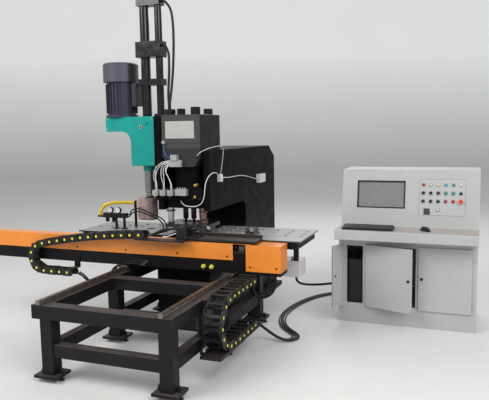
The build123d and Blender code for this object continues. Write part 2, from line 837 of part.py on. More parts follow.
# Air lines: white tubes at the head, one blue tube and the yellow hose
air_lines = []
tube_radius = 3.5
port_z = 1257.5
tube_start_y = head_box_front - 20
for number, target_x in enumerate((-244, -220, -172, -148, -100, -76)):
    start_z = 1492 - 8 * number
    target_y = cylinder_front - (20 if number % 2 == 0 else 48)
    places = [
        (-98.5, tube_start_y, start_z),
        (-118, tube_start_y, start_z),
        (-142 - 8 * (5 - number), tube_start_y - 4 - 2 * number, start_z - 14),
        (min(target_x, -120) - 14, tube_start_y - 9 - 2 * number, 1390),
        (target_x, target_y, 1290),
        (target_x, target_y, port_z),
    ]
    air_lines.append(tube_along("white tube", eased(places, 62), tube_radius))
blue_places = [
    (-80.5, -242, 1522), (-104, -242, 1522), (-142, -240, 1546), (-158, -232, 1590), (-160, -228, 1612),
    (-160, -228, 1639.5),
]
air_lines.append(tube_along("blue tube", eased(blue_places, 45), tube_radius))
signal_places = [
    (-20, -202, 1149.5), (-20, -202, 1132), (16, -222, 1108), (100, -238, 1102), (180, -240, 1116),
    (216, -238, 1180), (228, -236, 1290), (frame_half_width + 8, -200, 1376),
    (frame_half_width + 34, -120, 1388),
    (frame_half_width + 22, -66, 1342), (frame_half_width + 22, -30.5, 1342),
]
air_lines.append(tube_along("signal cable", eased(signal_places, 60), 4))
side_places = [
    (frame_half_width + 22, 12.5, 1331), (frame_half_width + 22, 70, 1331),
    (frame_half_width + 18, 200, 1320), (frame_half_width + 16, 400, 1320),
    (frame_half_width + 17, 600, 1304), (frame_half_width + 18, 800, 1268),
    (frame_half_width + 20, 910, 1246), (frame_half_width + 20, 959.5, 1246),
]
air_lines.append(tube_along("side cable", eased(side_places, 118), 4))
yellow_hose_radius = 15
yellow_places = [
    (-945, air_y, 970.5), (-945, air_y, 992), (-932, -66, 1039), (-897, -58, 1072), (-856, -40, 1083),
    (-790, 10, 1085), (-730, 50, 1082), (-700, hose_post_y, 1080), (hose_post_x - 6.5, hose_post_y, 1080),
]
air_lines.append(tube_along("yellow hose", eased(yellow_places, 75), yellow_hose_radius))
group("air_lines", air_lines)

# Terminal box and plug on the side of the C-frame, and the junction box under the right table
junction_left = 740
junction_right = 918
junction_bottom = 432
junction_top = 577
gland_radius = 17
gland_length = 14
boxes = []
boxes.append(bar(frame_half_width, frame_half_width + 48, 960, 1120, 1205, 1290, 4, Axis.Z))
boxes.append(bar(frame_half_width, frame_half_width + 36, -30, 12, 1300, 1366, 6, Axis.X))
boxes.append(bar(junction_left, junction_right, 225, 425, junction_bottom, junction_top, 5, Axis.Z))
boxes.append(bar(860, 900, 232, 268, junction_top, support_top))
with BuildPart() as junction_gland:
    cylinder_between(junction_bottom - gland_length, junction_bottom, gland_radius,
                     junction_right - 60, 320)
boxes.append(junction_gland.part)
group("junction_boxes", boxes)

# Cable bundle on the floor, from the fixed end of the cross travel's chain to the console
bundle_radius = 16
bundle_points = [
    (690, -436, 200), (695, -376, 194), (720, -318, 162), (764, -274, 110), (826, -252, 60),
    (898, -250, 28),
    (962, -218, 18), (994, -152, 18), (976, -78, 18), (918, -14, 18), (838, 66, 18), (768, 184, 18),
    (716, 330, 18), (694, 500, 18), (702, 680, 18), (736, 860, 18), (792, 1030, 18), (872, 1180, 18),
    (976, 1296, 18), (1100, 1366, 18), (1230, 1370, 20), (1340, 1310, 42), (1418, 1226, 82),
    (1454, 1140, 112), (1454, console_rear + gland_length, 112),
]
group("floor_cable_bundle", [tube_along("floor bundle", bundle_points, bundle_radius)])

# Cable from the junction box to the console's side
lead_radius = 11
console_points = [
    (junction_right - 60, 320, junction_bottom - gland_length), (junction_right - 60, 320, 384),
    (884, 336, 352), (930, 372, 334), (984, 420, 324), (1040, 470, 318), (1096, 520, 315), (1146, 566, 314),
    (1182, 598, 314), (console_left - gland_length, 598, 314),
]
group("console_lead", [tube_along("console lead", console_points, lead_radius)])

# Cross beam
beam_rear = beam_front + beam_depth
beam_top = block_top + beam_height
with BuildPart() as x_beam:
    span(beam_left, beam_right, beam_front, beam_rear, block_top, beam_top)
    fillet(x_beam.edges().filter_by(Axis.X), 6)
    span(beam_right, motor_box_right, beam_front - 10, beam_rear + 4, block_top, motor_box_bottom)
    span(beam_left, beam_left + 12, beam_front, beam_rear, beam_top - 20, cover_top - cover_sheet)

# Sheet covers over the beam: the long one and the box over the motor
skirt = beam_front - cover_gap - cover_sheet
cover_rear = beam_rear - slit_depth
with BuildPart() as beam_cover:
    span(beam_left, cover_right, skirt, skirt + cover_sheet, cover_bottom, cover_top)
    span(beam_left, motor_box_left + 40, skirt, cover_rear, cover_top - cover_sheet, cover_top)
    span(beam_left, cover_right, skirt + cover_sheet, beam_front, cover_bottom + 20, cover_bottom + 30)
    fillet(beam_cover.edges().filter_by(Axis.X).sort_by(Axis.Z)[-2:].sort_by(Axis.Y)[0], 2)
    span(motor_box_left, motor_box_right, skirt - 4, beam_rear + 4, motor_box_bottom, motor_box_top)
    span(motor_box_left - 1, motor_box_right - cover_sheet, skirt - 4 + cover_sheet,
         beam_rear + 4 - cover_sheet, motor_box_bottom - 1, motor_box_top - cover_sheet, Mode.SUBTRACT)
write("beam_cover", beam_cover)

# Guides on the beam: two rails on its top and the blocks that run on the base
guides = []
for guide_y in (beam_front + 35, beam_rear - 35):
    guides.append(
        bar(beam_left + 60, cover_right - 20, guide_y - x_rail_width / 2, guide_y + x_rail_width / 2,
            beam_top, beam_top + x_rail_height))
for side in (-1, 1):
    for block_y in (beam_front + 45, beam_rear - 45):
        with BuildPart() as runner:
            span(side * rail_x - block_width / 2, side * rail_x + block_width / 2,
                 block_y - 42, block_y + 42,
                 base_top + 9, block_top)
            chamfer(runner.edges().filter_by(Axis.Y).group_by(Axis.Z)[-1], 5)
            span(side * rail_x - half_rail - running_gap, side * rail_x + half_rail + running_gap,
                 block_y - 43, block_y + 43, base_top, base_top + rail_height + running_gap, Mode.SUBTRACT)
        guides.append(runner.part)
# Servo of the beam, inside the end box, and its bearing block in the gap of the cover
with BuildPart() as servo:
    with Locations(Plane((motor_box_left + 30, beam_front + 80, 730), z_dir=(1, 0, 0))):
        Cylinder(42, 190, align=(Align.CENTER, Align.CENTER, Align.MIN))
    span(motor_box_left + 30, motor_box_left + 46, beam_front + 30, beam_rear - 30, block_top + 26, 790)
guides.append(servo.part)
for number in range(3):
    plug_left = -300 + 18 * number
    plug_low = 609.5 + 16 * number
    guides.append(bar(plug_left, plug_left + 38, -446, beam_front, plug_low, plug_low + 15))
guides.append(
    bar(beam_right - 70, beam_right - 24, beam_front + 50, beam_rear - 50, beam_top, beam_top + 42))
group("beam_guides", guides)


def chain_pins(place, total):
    """Walk along a path so that successive pins lie one pitch apart."""
    pins = [place(0)]
    travelled = 0
    while travelled + chain_pitch <= total + 1:
        low, high = travelled + 0.9 * chain_pitch, travelled + 1.3 * chain_pitch
        for _ in range(40):
            middle = (low + high) / 2
            point = place(middle)
            if hypot(point[0] - pins[-1][0], point[1] - pins[-1][1]) < chain_pitch:
                low = middle
            else:
                high = middle
        travelled = high
        pins.append(place(travelled))
    return pins


def chain_link(start, end, near, far, plane_of, inset):
    """One link: two eight-sided side plates that lap its neighbours' plates, joined by two cross bars."""
    middle = ((start[0] + end[0]) / 2, (start[1] + end[1]) / 2)
    slope = degrees(atan2(end[1] - start[1], end[0] - start[0]))
    half = chain_pitch / 2 + link_lap
    tall = link_height / 2
    inward = link_plate if far > near else -link_plate
    with BuildPart() as link:
        for side, depth in ((near + inset * inward, link_plate), (far - inset * inward, -link_plate)):
            with BuildSketch(plane_of(side)):
                with Locations(Location(middle, slope)):
                    Polygon(
                        (-half, 8), (link_bevel - half, tall), (half - link_bevel, tall), (half, 8),
                        (half, -8), (half - link_bevel, -tall), (link_bevel - half, -tall), (-half, -8),
                        align=None,
                    )
            extrude(amount=depth)
        with BuildSketch(plane_of(near + (inset + 1) * inward)):
            with Locations(Location(middle, slope)):
                with Locations((0, tall - 6), (0, 6 - tall)):
                    Rectangle(22, 8)
        extrude(amount=abs(far - near) - 2 * (inset + 1) * link_plate)
    return link.part


def x_plane(y):
    """Plane of the beam's chain at one Y, with local x along X and local y up."""
    return Plane(origin=(0, y, 0), x_dir=(1, 0, 0), z_dir=(0, -1, 0))


long_radius = (x_chain_apex - x_chain_bend_x) / sin(radians(x_chain_rise)) + x_chain_radius


def x_chain_place(distance):
    """Point of the beam chain's pitch line: lower run, bend, then one long rising arc."""
    radius = x_chain_radius
    lower = x_chain_fixed_end - x_chain_bend_x
    turn = pi - radians(x_chain_rise)
    centre_z = x_chain_low + radius
    if distance <= lower:
        return (x_chain_fixed_end - distance, x_chain_low)
    if distance <= lower + radius * turn:
        angle = (distance - lower) / radius
        return (x_chain_bend_x - radius * sin(angle), centre_z - radius * cos(angle))
    rise = radians(x_chain_rise)
    top_x = x_chain_bend_x - radius * sin(rise)
    top_z = centre_z + radius * cos(rise)
    angle = (distance - lower - radius * turn) / long_radius
    return (
        top_x + long_radius * (sin(rise) - sin(rise - angle)),
        top_z + long_radius * (cos(rise - angle) - cos(rise)),
    )


x_chain_total = (x_chain_fixed_end - x_chain_bend_x) + x_chain_radius * (pi - radians(x_chain_rise))
x_chain_left = asin((x_chain_apex - x_chain_moving_end) / long_radius)
x_chain_total += long_radius * (radians(x_chain_rise) - x_chain_left)
x_pins = chain_pins(x_chain_place, x_chain_total)
x_links = [
    chain_link(start, end, x_chain_rear, x_chain_front, x_plane, number % 2)
    for number, (start, end) in enumerate(zip(x_pins, x_pins[1:]))
]
print("x chain links", len(x_links), "last pin", x_pins[-1])
group("x_chain", x_links)


def y_plane(x):
    """Plane of the cross travel's chain at one X, with local x along Y and local y up."""
    return Plane(origin=(x, 0, 0), x_dir=(0, 1, 0), z_dir=(1, 0, 0))


def y_chain_place(distance):
    """Point of the cross travel chain's pitch line: lower run, bend, upper run."""
    lower = y_chain_end - y_chain_bend_y
    if distance <= lower:
        return (y_chain_end - distance, y_chain_low)
    if distance <= lower + y_chain_radius * pi:
        angle = (distance - lower) / y_chain_radius
        return (
            y_chain_bend_y - y_chain_radius * sin(angle),
            y_chain_low + y_chain_radius * (1 - cos(angle)),
        )
    return (y_chain_bend_y + distance - lower - y_chain_radius * pi, y_chain_low + 2 * y_chain_radius)


y_chain_total = 2 * (y_chain_end - y_chain_bend_y) + y_chain_radius * pi
y_pins = chain_pins(y_chain_place, y_chain_total)
y_links = [
    chain_link(start, end, y_chain_left, y_chain_right, y_plane, number % 2)
    for number, (start, end) in enumerate(zip(y_pins, y_pins[1:]))
]
print("y chain links", len(y_links), "last pin", y_pins[-1])
group("y_chain", y_links)

# Tray of the cross travel's chain, a folded channel on brackets from the base
tray_bottom = y_chain_low - link_height / 2
with BuildPart() as chain_tray:
    span(y_chain_left - 6, y_chain_right + 6, -1190, y_chain_end + 40, tray_bottom - 3, tray_bottom)
    for edge in (y_chain_left - 6, y_chain_right + 3):
        span(edge, edge + 3, -1190, y_chain_end + 40, tray_bottom, tray_bottom + 16)
    for bracket_y in (-1100, -780):
        span(leg_right + half_lower, y_chain_left, bracket_y, bracket_y + 40,
             tray_bottom - 11, tray_bottom - 3)
        span(leg_right + half_lower, leg_right + half_lower + 8, bracket_y, bracket_y + 40,
             tray_bottom - 3, lower_top - 10)
        span(y_chain_left, y_chain_right, bracket_y, bracket_y + 40, tray_bottom - 11, tray_bottom - 3)
    # Clamp that holds the fixed end of the chain, with the gland of the cable bundle
    span(y_chain_left + 12, y_chain_right - 12, y_chain_end + 4, y_chain_end + 16,
         tray_bottom, y_chain_low + 26)
    span(662, 718, y_chain_end, y_chain_end + 20, tray_bottom + 4, y_chain_low + 27, Mode.SUBTRACT)
write("chain_tray", chain_tray)

# Brackets on the beam: fixed end of the beam's chain and moving end of the cross travel's chain
with BuildPart() as chain_bracket:
    span(-990, -930, x_chain_front, beam_front, x_chain_low + link_height / 2, x_chain_low + 40)
    span(-990, -930, beam_front - 8, beam_front, x_chain_low + link_height / 2, block_top + 60)
with BuildPart() as y_chain_bracket:
    span(y_chain_left, y_chain_right, -470, -400, block_top - 9, block_top)
group("x_beam", [x_beam.part, chain_bracket.part, y_chain_bracket.part])

# Leads below the beam: three from the chain's fixed end and two loops under the motor box
leads = []
for number in range(3):
    lead_y = -508 + 26 * number
    points = [
        (-923, lead_y, 512),
        (-880, lead_y + 1, 500 - 4 * number),
        (-806, lead_y + 4, 446 - 12 * number),
        (-730, lead_y + 10, 408 - 20 * number),
        (-660 + 4 * number, lead_y + 18, 430 - 20 * number),
        (-612 + 6 * number, -470, 506 - 12 * number),
        (-556 + 8 * number, -450, 590 - 4 * number),
        (-470 + 10 * number, -440, 612 + 8 * number),
        (-380 + 14 * number, -437, 618 + 15 * number),
        (-300.5 + 18 * number, -437, 617 + 16 * number),
    ]
    leads.append(tube_along("beam lead", points, 5))
for number in range(2):
    shift = 26 * number
    points = [
        (840 + 2 * shift, -380, block_top - 1.5),
        (843 + 2 * shift, -384, 538 - shift),
        (828 + 1.6 * shift, -392, 474 - shift),
        (784 + shift, -400, 432 - shift),
        (726 + shift / 2, -406, 438 - shift),
        (696 + shift / 2, -412, 488 - shift),
        (697 + shift, -418, 544 - shift / 2),
        (700 + shift, -420, block_top - 10),
    ]
    leads.append(tube_along("loop lead", points, 9))
group("beam_leads", leads)

# Carriage: a lower plate with runner blocks, a riser through the slit and a long upper plate
carriage_base = beam_top + x_rail_height + 16
carriage_top = carriage_bottom + carriage_plate
with BuildPart() as carriage:
    span(carriage_left + 60, cover_right - 60, beam_front + 14, beam_rear - 12,
         carriage_base, carriage_base + 10)
    for guide_y in (beam_front + 35, beam_rear - 35):
        for block_x in (carriage_left + 60, cover_right - 150):
            span(block_x, block_x + 90, guide_y - 24, guide_y + 24, beam_top + 6, carriage_base)
            span(block_x - 1, block_x + 91, guide_y - x_rail_width / 2 - running_gap,
                 guide_y + x_rail_width / 2 + running_gap, beam_top, beam_top + x_rail_height + running_gap,
                 Mode.SUBTRACT)
    span(carriage_left + 60, cover_right - 60, beam_rear - 42, beam_rear - 12,
         carriage_base, carriage_bottom)
    span(carriage_left, carriage_right, beam_front - 12, beam_rear - 2, carriage_bottom, carriage_top)
    span(carriage_left, carriage_right, beam_rear - 16, beam_rear - 2,
         carriage_top, carriage_top + lip_height)
    chamfer(carriage.faces().sort_by(Axis.Z)[-1].edges(), 2)
write("carriage", carriage)

# Cable block at the left end of the carriage, on a foot plate, with an arm below the chain's moving end
block_left = carriage_left - 70
block_length = 92
block_front = beam_front - 40
block_rear = beam_front + 100
cable_block_top = 955
block_foot = 12
arm_sheet = 9
last_rise = atan2(x_pins[-1][1] - x_pins[-2][1], x_pins[-1][0] - x_pins[-2][0])
last_middle = (x_pins[-1][1] + x_pins[-2][1]) / 2
link_corner = chain_pitch / 2 + link_lap - link_bevel
last_link_fall = link_height / 2 * cos(last_rise) + link_corner * sin(abs(last_rise))
arm_top = last_middle - last_link_fall - running_gap
fittings = [(block_rear - 16 - 24 * row, carriage_top + 66 - 8 * (row % 2)) for row in range(5)]
with BuildPart() as cable_block:
    span(block_left, block_left + block_length, block_front, block_rear,
         carriage_top + block_foot, cable_block_top)
    chamfer(cable_block.edges().filter_by(Axis.Z), 5)
    span(block_left, carriage_left + 110, block_front, block_rear, carriage_top, carriage_top + block_foot)
    arm_bottom_z = arm_top - arm_sheet
    span(block_left, block_left + block_length, block_front, beam_front - 12, arm_bottom_z, carriage_top)
    span(x_pins[-2][0], block_left + block_length, x_chain_front, beam_front - 12, arm_bottom_z, arm_top)
    for fitting_y, fitting_z in fittings:
        with Locations(Plane((block_left, fitting_y, fitting_z), z_dir=(-1, 0, 0))):
            Cylinder(8, 22, align=(Align.CENTER, Align.CENTER, Align.MIN))
    for fitting_y in (block_rear - 30, block_rear - 62):
        with Locations(Plane((block_left + block_length, fitting_y, cable_block_top - 20), z_dir=(1, 0, 0))):
            Cylinder(8, 22, align=(Align.CENTER, Align.CENTER, Align.MIN))

# Leads of the carriage: five from the end of the chain to the block and one that loops back over it
lead_start = x_pins[-1][0] + 2 * link_lap
carriage_leads = []
for number, (fitting_y, fitting_z) in enumerate(fittings):
    start_y = x_chain_rear - 16 - 14 * number
    lift = 10 * (number % 2) + 4 * number
    places = [
        (lead_start, start_y, last_middle + 4 - lift / 2),
        (lead_start + 34, start_y + 1, last_middle + 5 - lift / 2),
        (lead_start + 92, start_y + 4, last_middle + 16 + lift),
        (lead_start + 150, (2 * start_y + fitting_y) / 3, last_middle + 34 + lift),
        (block_left - 60, fitting_y - 6, fitting_z + 4),
        (block_left - 22.5, fitting_y, fitting_z),
    ]
    carriage_leads.append(tube_along("carriage lead", eased(places, 48), 6))
loop_start = block_left + block_length + 22.5
loop_places = [
    (loop_start, block_rear - 62, cable_block_top - 20),
    (loop_start + 24, block_rear - 62, cable_block_top - 20),
    (loop_start + 76, block_rear - 72, 944), (loop_start + 128, block_rear - 66, 972),
    (loop_start + 140, block_rear - 46, 1004), (loop_start + 104, block_rear - 28, 1018),
    (loop_start + 56, block_rear - 24, 996), (loop_start + 26, block_rear - 28, 950),
    (loop_start + 20, block_rear - 30, cable_block_top - 20),
    (loop_start, block_rear - 30, cable_block_top - 20),
]
carriage_leads.append(tube_along("carriage loop", eased(loop_places, 42), 6))
group("cable_block", [cable_block.part] + carriage_leads)

# Clamp bodies with a thin lower jaw and a pivot bracket
clamps = []
for place_x in clamp_x:
    half = clamp_width / 2
    with BuildPart() as clamp:
        span(place_x - half, place_x + half, beam_rear - 2, clamp_front, pass_line - lower_jaw, pass_line)
        span(place_x - half, place_x + half, beam_rear - 2, -226, pass_line, 900)
        for side in (-1, 1):
            low, high = sorted((place_x + side * half, place_x + side * (half - 16)))
            span(low, high, beam_rear - 2, -196, 900, 944)
        chamfer(clamp.edges().filter_by(Axis.X).sort_by(Axis.Z)[-1], 4)
        with Locations(Plane((place_x, -215, jaw_pivot_z), z_dir=(1, 0, 0))):
            Cylinder(6, clamp_width + 8)
    clamps.append(clamp.part)
group("clamp_bodies", clamps)

# Upper clamp jaws
for number, place_x in enumerate(clamp_x, start=1):
    jaw_half = clamp_width / 2 - 16 - running_gap
    with BuildPart() as jaw:
        with BuildSketch(Plane.YZ.offset(place_x - jaw_half)):
            with BuildLine():
                Polyline(
                    (-240, jaw_pivot_z - 12),
                    (-228, jaw_pivot_z + 16),
                    (-198, jaw_pivot_z + 16),
                    (-186, jaw_pivot_z - 22),
                    (clamp_front, pass_line + 26),
                    (clamp_front, pass_line + 10),
                    (-128, pass_line + 10),
                    (-146, pass_line + 20),
                    (-196, pass_line + 22),
                    (-206, jaw_pivot_z - 18),
                    close=True,
                )
            make_face()
        extrude(amount=2 * jaw_half)
        with Locations(Plane((place_x, -215, jaw_pivot_z), z_dir=(1, 0, 0))):
            Cylinder(6.05, clamp_width, mode=Mode.SUBTRACT)
    write(f"clamp_jaw_{number}", jaw)

# Console cabinet: sheet panels, two dividers and a front frame with three openings
openings = ((1292, 1436), (1472, 1893), (1927, 2341))
frame_depth = 25
cabinet = []
inner_front = console_front + frame_depth
cabinet.append(bar(console_left, console_left + sheet, inner_front, console_rear, 0, cabinet_top))
cabinet.append(bar(console_right - sheet, console_right, inner_front, console_rear, 0, cabinet_top))
cabinet.append(
    bar(console_left + sheet, console_right - sheet, console_rear - sheet, console_rear, 0, cabinet_top))
cabinet.append(
    bar(console_left + sheet, console_right - sheet, inner_front, console_rear - sheet,
        plinth_top - sheet, plinth_top))
cabinet.append(bar(console_left, console_right, console_front, inner_front, 0, door_bottom + 16))
cabinet.append(bar(console_left, console_right, console_front, inner_front, door_top - 16, cabinet_top))
stile_edges = [console_left] + [edge for pair in openings for edge in pair] + [console_right]
hinge_axis_y = console_front - door_gap - door_thickness / 2
left_axis = left_door[0] - hinge_radius
middle_axis = middle_door[0] - hinge_radius
right_axis = right_door_hinge + hinge_radius
hinge_heights = (door_bottom + 70, door_top - 110)
hinges_on_stile = {0: left_axis, 1: middle_axis, 3: right_axis}
for number, (low, high) in enumerate(zip(stile_edges[::2], stile_edges[1::2])):
    with BuildPart() as stile:
        span(low, high, console_front, inner_front, door_bottom + 16, door_top - 16)
        if number in hinges_on_stile:
            for height in hinge_heights:
                cylinder_between(height, height + 20, hinge_radius, hinges_on_stile[number], hinge_axis_y)
                span(hinges_on_stile[number] - 4, hinges_on_stile[number] + 4, hinge_axis_y, console_front,
                     height, height + 20)
    cabinet.append(stile.part)
for low, high in ((1460, 1460 + sheet), (1910, 1910 + sheet)):
    cabinet.append(bar(low, high, inner_front, console_rear - sheet, plinth_top, cabinet_top))
# Glands of the two cables, on the left side and the back
for place, outward in ((console_points[-1], (-1, 0, 0)), (bundle_points[-1], (0, 1, 0))):
    seat = Vector(*place) - gland_length * Vector(*outward)
    with BuildPart() as gland:
        with Locations(Plane(seat, z_dir=outward)):
            Cylinder(gland_radius, gland_length, align=(Align.CENTER, Align.CENTER, Align.MIN))
    cabinet.append(gland.part)
group("console_cabinet", cabinet)


def hinged_door(name, axis_x, width, direction, opened):
    """A folded door with two hinge knuckles, swung open by some degrees about its hinge."""
    swing = radians(opened)
    hinge = Plane(
        origin=(axis_x, hinge_axis_y, 0),
        x_dir=(cos(swing), -direction * sin(swing), 0),
        z_dir=(0, 0, 1),
    )
    centre = direction * (hinge_radius + hinge_inset + width / 2)
    with BuildPart(hinge) as door:
        with BuildSketch(hinge.offset(door_bottom)):
            with Locations((centre, 0)):
                Rectangle(width, door_thickness)
        extrude(amount=door_top - door_bottom)
        front = door.faces().sort_by(Axis((0, 0, 0), hinge.y_dir))[0]
        chamfer(front.edges(), 2)
        with BuildSketch(hinge.offset(door_bottom + 20)):
            with Locations((centre, sheet)):
                Rectangle(width - 2 * 24, door_thickness)
        extrude(amount=door_top - door_bottom - 40, mode=Mode.SUBTRACT)
        for height in hinge_heights:
            cylinder_between(height + 20 + running_gap, height + 46, hinge_radius, 0, 0)
            low, high = sorted((0, direction * (hinge_radius + 4)))
            span(low, high, -4, 4, height + 20 + running_gap, height + 46)
        lock_x = direction * (hinge_radius + width - 28)
        lock_place = hinge.from_local_coords(Vector(lock_x, -door_thickness / 2, 440))
        with BuildSketch(Plane(lock_place, z_dir=-hinge.y_dir)):
            Circle(11)
        extrude(amount=6)
    write(name, door)


hinged_door("left_door", left_axis, left_door[1], 1, left_door[2])
hinged_door("middle_door", middle_axis, middle_door[1], 1, middle_door[2])
hinged_door("right_door", right_axis, right_door_width, -1, 0)

# Desk and sloping housing of the console
slope = atan2(slope_top_y - slope_foot_y, console_top - desk_top)
face_plane = Plane(
    origin=(console_left, slope_foot_y, desk_top),
    x_dir=(1, 0, 0),
    z_dir=(0, -cos(slope), sin(slope)),
)
screen_box = (129, 556, 163, 412)
panel_box = (677, 1060, 112, 430)
panel_plate = 4
with BuildPart() as console_housing:
    with BuildSketch(Plane.YZ.offset(desk_left)) as side_outline:
        with BuildLine():
            Polyline(
                (desk_front, cabinet_top),
                (desk_front, desk_top),
                (slope_foot_y, desk_top),
                (slope_top_y, console_top),
                (console_rear, console_top),
                (console_rear, cabinet_top),
                close=True,
            )
        make_face()
        front_corners = side_outline.vertices().filter_by_position(Axis.X, desk_front - 1, desk_front + 1)
        fillet(front_corners, 8)
    extrude(amount=desk_right - desk_left)
    for (low_x, high_x, low_s, high_s), depth in ((screen_box, 22), (panel_box, 44)):
        with BuildSketch(face_plane):
            with Locations(((low_x + high_x) / 2, (low_s + high_s) / 2)):
                Rectangle(high_x - low_x, high_s - low_s)
        extrude(amount=-depth, mode=Mode.SUBTRACT)
write("console_housing", console_housing)

# Screen at the bottom of its recess
with BuildPart() as screen:
    with BuildSketch(face_plane.offset(-22)):
        with Locations(((screen_box[0] + screen_box[1]) / 2, (screen_box[2] + screen_box[3]) / 2)):
            Rectangle(screen_box[1] - screen_box[0] - 1, screen_box[3] - screen_box[2] - 1)
    extrude(amount=6)
write("screen", screen)

# Button panel with holes for the controls
column_step = 62.3
row_step = 72
first_column = 710
first_row = 380
cap_radius = 12
stop_radius = 14
stem_radius = 9
hole_gap = 0.3
press_travel = 4
bezel_height = 6
bezel_wall = 2.5
columns = [first_column + column_step * number for number in range(6)]
rows = [first_row - row_step * number for number in range(4)]
lamp_places = [(x, rows[0]) for x in columns]
selector_places = [(x, row) for row in rows[1:3] for x in columns[:3]]
push_places = [(columns[3], rows[1]), (columns[4], rows[1]), (columns[3], rows[2]), (columns[4], rows[2])]
key_place = (columns[5], rows[1])
stop_place = (columns[5], rows[2])
white_place = (first_column + 125, rows[3])
square_place = (first_column + 32, rows[3])
with BuildPart() as button_panel:
    with BuildSketch(face_plane.offset(-panel_plate)):
        with Locations(((panel_box[0] + panel_box[1]) / 2, (panel_box[2] + panel_box[3]) / 2)):
            Rectangle(panel_box[1] - panel_box[0] - 0.6, panel_box[3] - panel_box[2] - 0.6)
        with Locations(*(selector_places + push_places + [key_place, stop_place, white_place])):
            Circle(stem_radius + hole_gap, mode=Mode.SUBTRACT)
    extrude(amount=panel_plate + 1)
    with BuildSketch(face_plane.offset(1)):
        with Locations(square_place):
            Rectangle(50, 50)
    extrude(amount=5)
    # Bezel rings that guide the caps of the push buttons
    bezels = ((push_places + [white_place], cap_radius), ([stop_place], stop_radius))
    for ring_places, inner_radius in bezels:
        with BuildSketch(face_plane.offset(1)):
            with Locations(*ring_places):
                Circle(inner_radius + hole_gap + bezel_wall)
                Circle(inner_radius + hole_gap, mode=Mode.SUBTRACT)
        extrude(amount=bezel_height)
write("button_panel", button_panel)


def control(name, place, profile, travel=0):
    """A round control turned from a profile of radius and height, clear of the panel by its travel."""
    with BuildPart() as turned:
        with BuildSketch(face_plane.offset(-24)):
            with Locations(place):
                Circle(stem_radius)
        height = 1 + hole_gap + travel
        extrude(amount=24 + height + 1)
        for radius, rise in profile:
            with BuildSketch(face_plane.offset(height)):
                with Locations(place):
                    Circle(radius)
            extrude(amount=rise)
            height += rise
        if name.startswith("selector"):
            with BuildSketch(face_plane.offset(height)):
                with Locations(place):
                    Rectangle(8, 2 * profile[-1][0])
            extrude(amount=8)
        if name == "key_switch":
            with BuildSketch(face_plane.offset(height)):
                with Locations(place):
                    Rectangle(3, 14)
            extrude(amount=26)
    write(name, turned)


lamps = []
for place in lamp_places:
    with BuildPart() as lamp:
        with BuildSketch(face_plane.offset(1)):
            with Locations(place):
                Circle(15)
        extrude(amount=4)
        with BuildSketch(face_plane.offset(5)):
            with Locations(place):
                Circle(11.5)
        extrude(amount=9)
        chamfer(lamp.edges().filter_by(GeomType.CIRCLE).sort_by(Axis.Y)[0], 3)
    lamps.append(lamp.part)
group("indicator_lamps", lamps)

for number, place in enumerate(selector_places, start=1):
    control(f"selector_{number}", place, [(14, 10)])
for number, place in enumerate(push_places, start=1):
    control(f"push_button_{number}", place, [(cap_radius, 8)], press_travel)
control("push_button_5", white_place, [(cap_radius, 7)], press_travel)
control("key_switch", key_place, [(13, 8)])
control("emergency_stop", stop_place, [(stop_radius, 8), (20, 14)], press_travel)

# Computer in the left bay, keyboard and mouse on the desk
with BuildPart() as computer:
    span(openings[0][0] + 4, openings[0][1] - 4, 500, 900, plinth_top, 568)
    fillet(computer.edges().filter_by(Axis.Z).sort_by(Axis.Y)[:2], 8)
    span(openings[0][0] + 16, openings[0][1] - 16, 499, 503, 330, 520, Mode.SUBTRACT)
    for bay in range(3):
        span(openings[0][0] + 18, openings[0][1] - 18, 500, 503, 340 + 60 * bay, 390 + 60 * bay)
write("computer", computer)

desk_items = []
with BuildPart() as keyboard:
    with BuildSketch(Plane.YZ.offset(1268)):
        with BuildLine():
            Polyline((330, desk_top), (330, desk_top + 12), (480, desk_top + 26), (480, desk_top),
                     close=True)
        make_face()
    extrude(amount=440)
    fillet(keyboard.edges().filter_by(Axis.Z), 8)
desk_items.append(keyboard.part)
with BuildPart() as mouse:
    with BuildSketch(Plane.XY.offset(desk_top)):
        with Locations(Location((1968, 430), -50)):
            Ellipse(56, 31)
    extrude(amount=14)
    with BuildSketch(Plane.XY.offset(desk_top + 14)):
        with Locations(Location((1968, 430), -50)):
            Ellipse(56, 31)
    extrude(amount=20, taper=38)
desk_items.append(mouse.part)
group("keyboard_and_mouse", desk_items)
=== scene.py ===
from math import cos, radians, sin

import bmesh
import bpy
from mathutils import Matrix, Vector


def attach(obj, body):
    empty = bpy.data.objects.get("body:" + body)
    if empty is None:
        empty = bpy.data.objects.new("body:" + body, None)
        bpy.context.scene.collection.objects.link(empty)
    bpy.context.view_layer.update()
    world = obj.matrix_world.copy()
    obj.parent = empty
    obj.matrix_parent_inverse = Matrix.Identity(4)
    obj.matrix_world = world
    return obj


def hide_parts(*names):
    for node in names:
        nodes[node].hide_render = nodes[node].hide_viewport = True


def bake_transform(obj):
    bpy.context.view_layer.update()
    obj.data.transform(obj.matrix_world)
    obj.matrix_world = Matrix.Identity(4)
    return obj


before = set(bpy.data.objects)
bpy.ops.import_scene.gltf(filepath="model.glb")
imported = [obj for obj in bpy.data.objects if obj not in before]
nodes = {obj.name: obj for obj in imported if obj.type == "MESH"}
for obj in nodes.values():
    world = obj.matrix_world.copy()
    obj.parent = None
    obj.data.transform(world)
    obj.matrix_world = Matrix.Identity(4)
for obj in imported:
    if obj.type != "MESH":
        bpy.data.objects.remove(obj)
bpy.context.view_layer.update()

# Directions in the frame
to_right = (1, 0, 0)
to_front = (0, -1, 0)
to_top = (0, 0, 1)

# Faces of the machine that carry trim, in metres
head_face = -0.215
casting_face = -0.120
beam_face = -0.430
cover_face = -0.436
end_box_face = -0.440
rail_x = 0.488
rail_top = 0.580
junction_top = 0.577

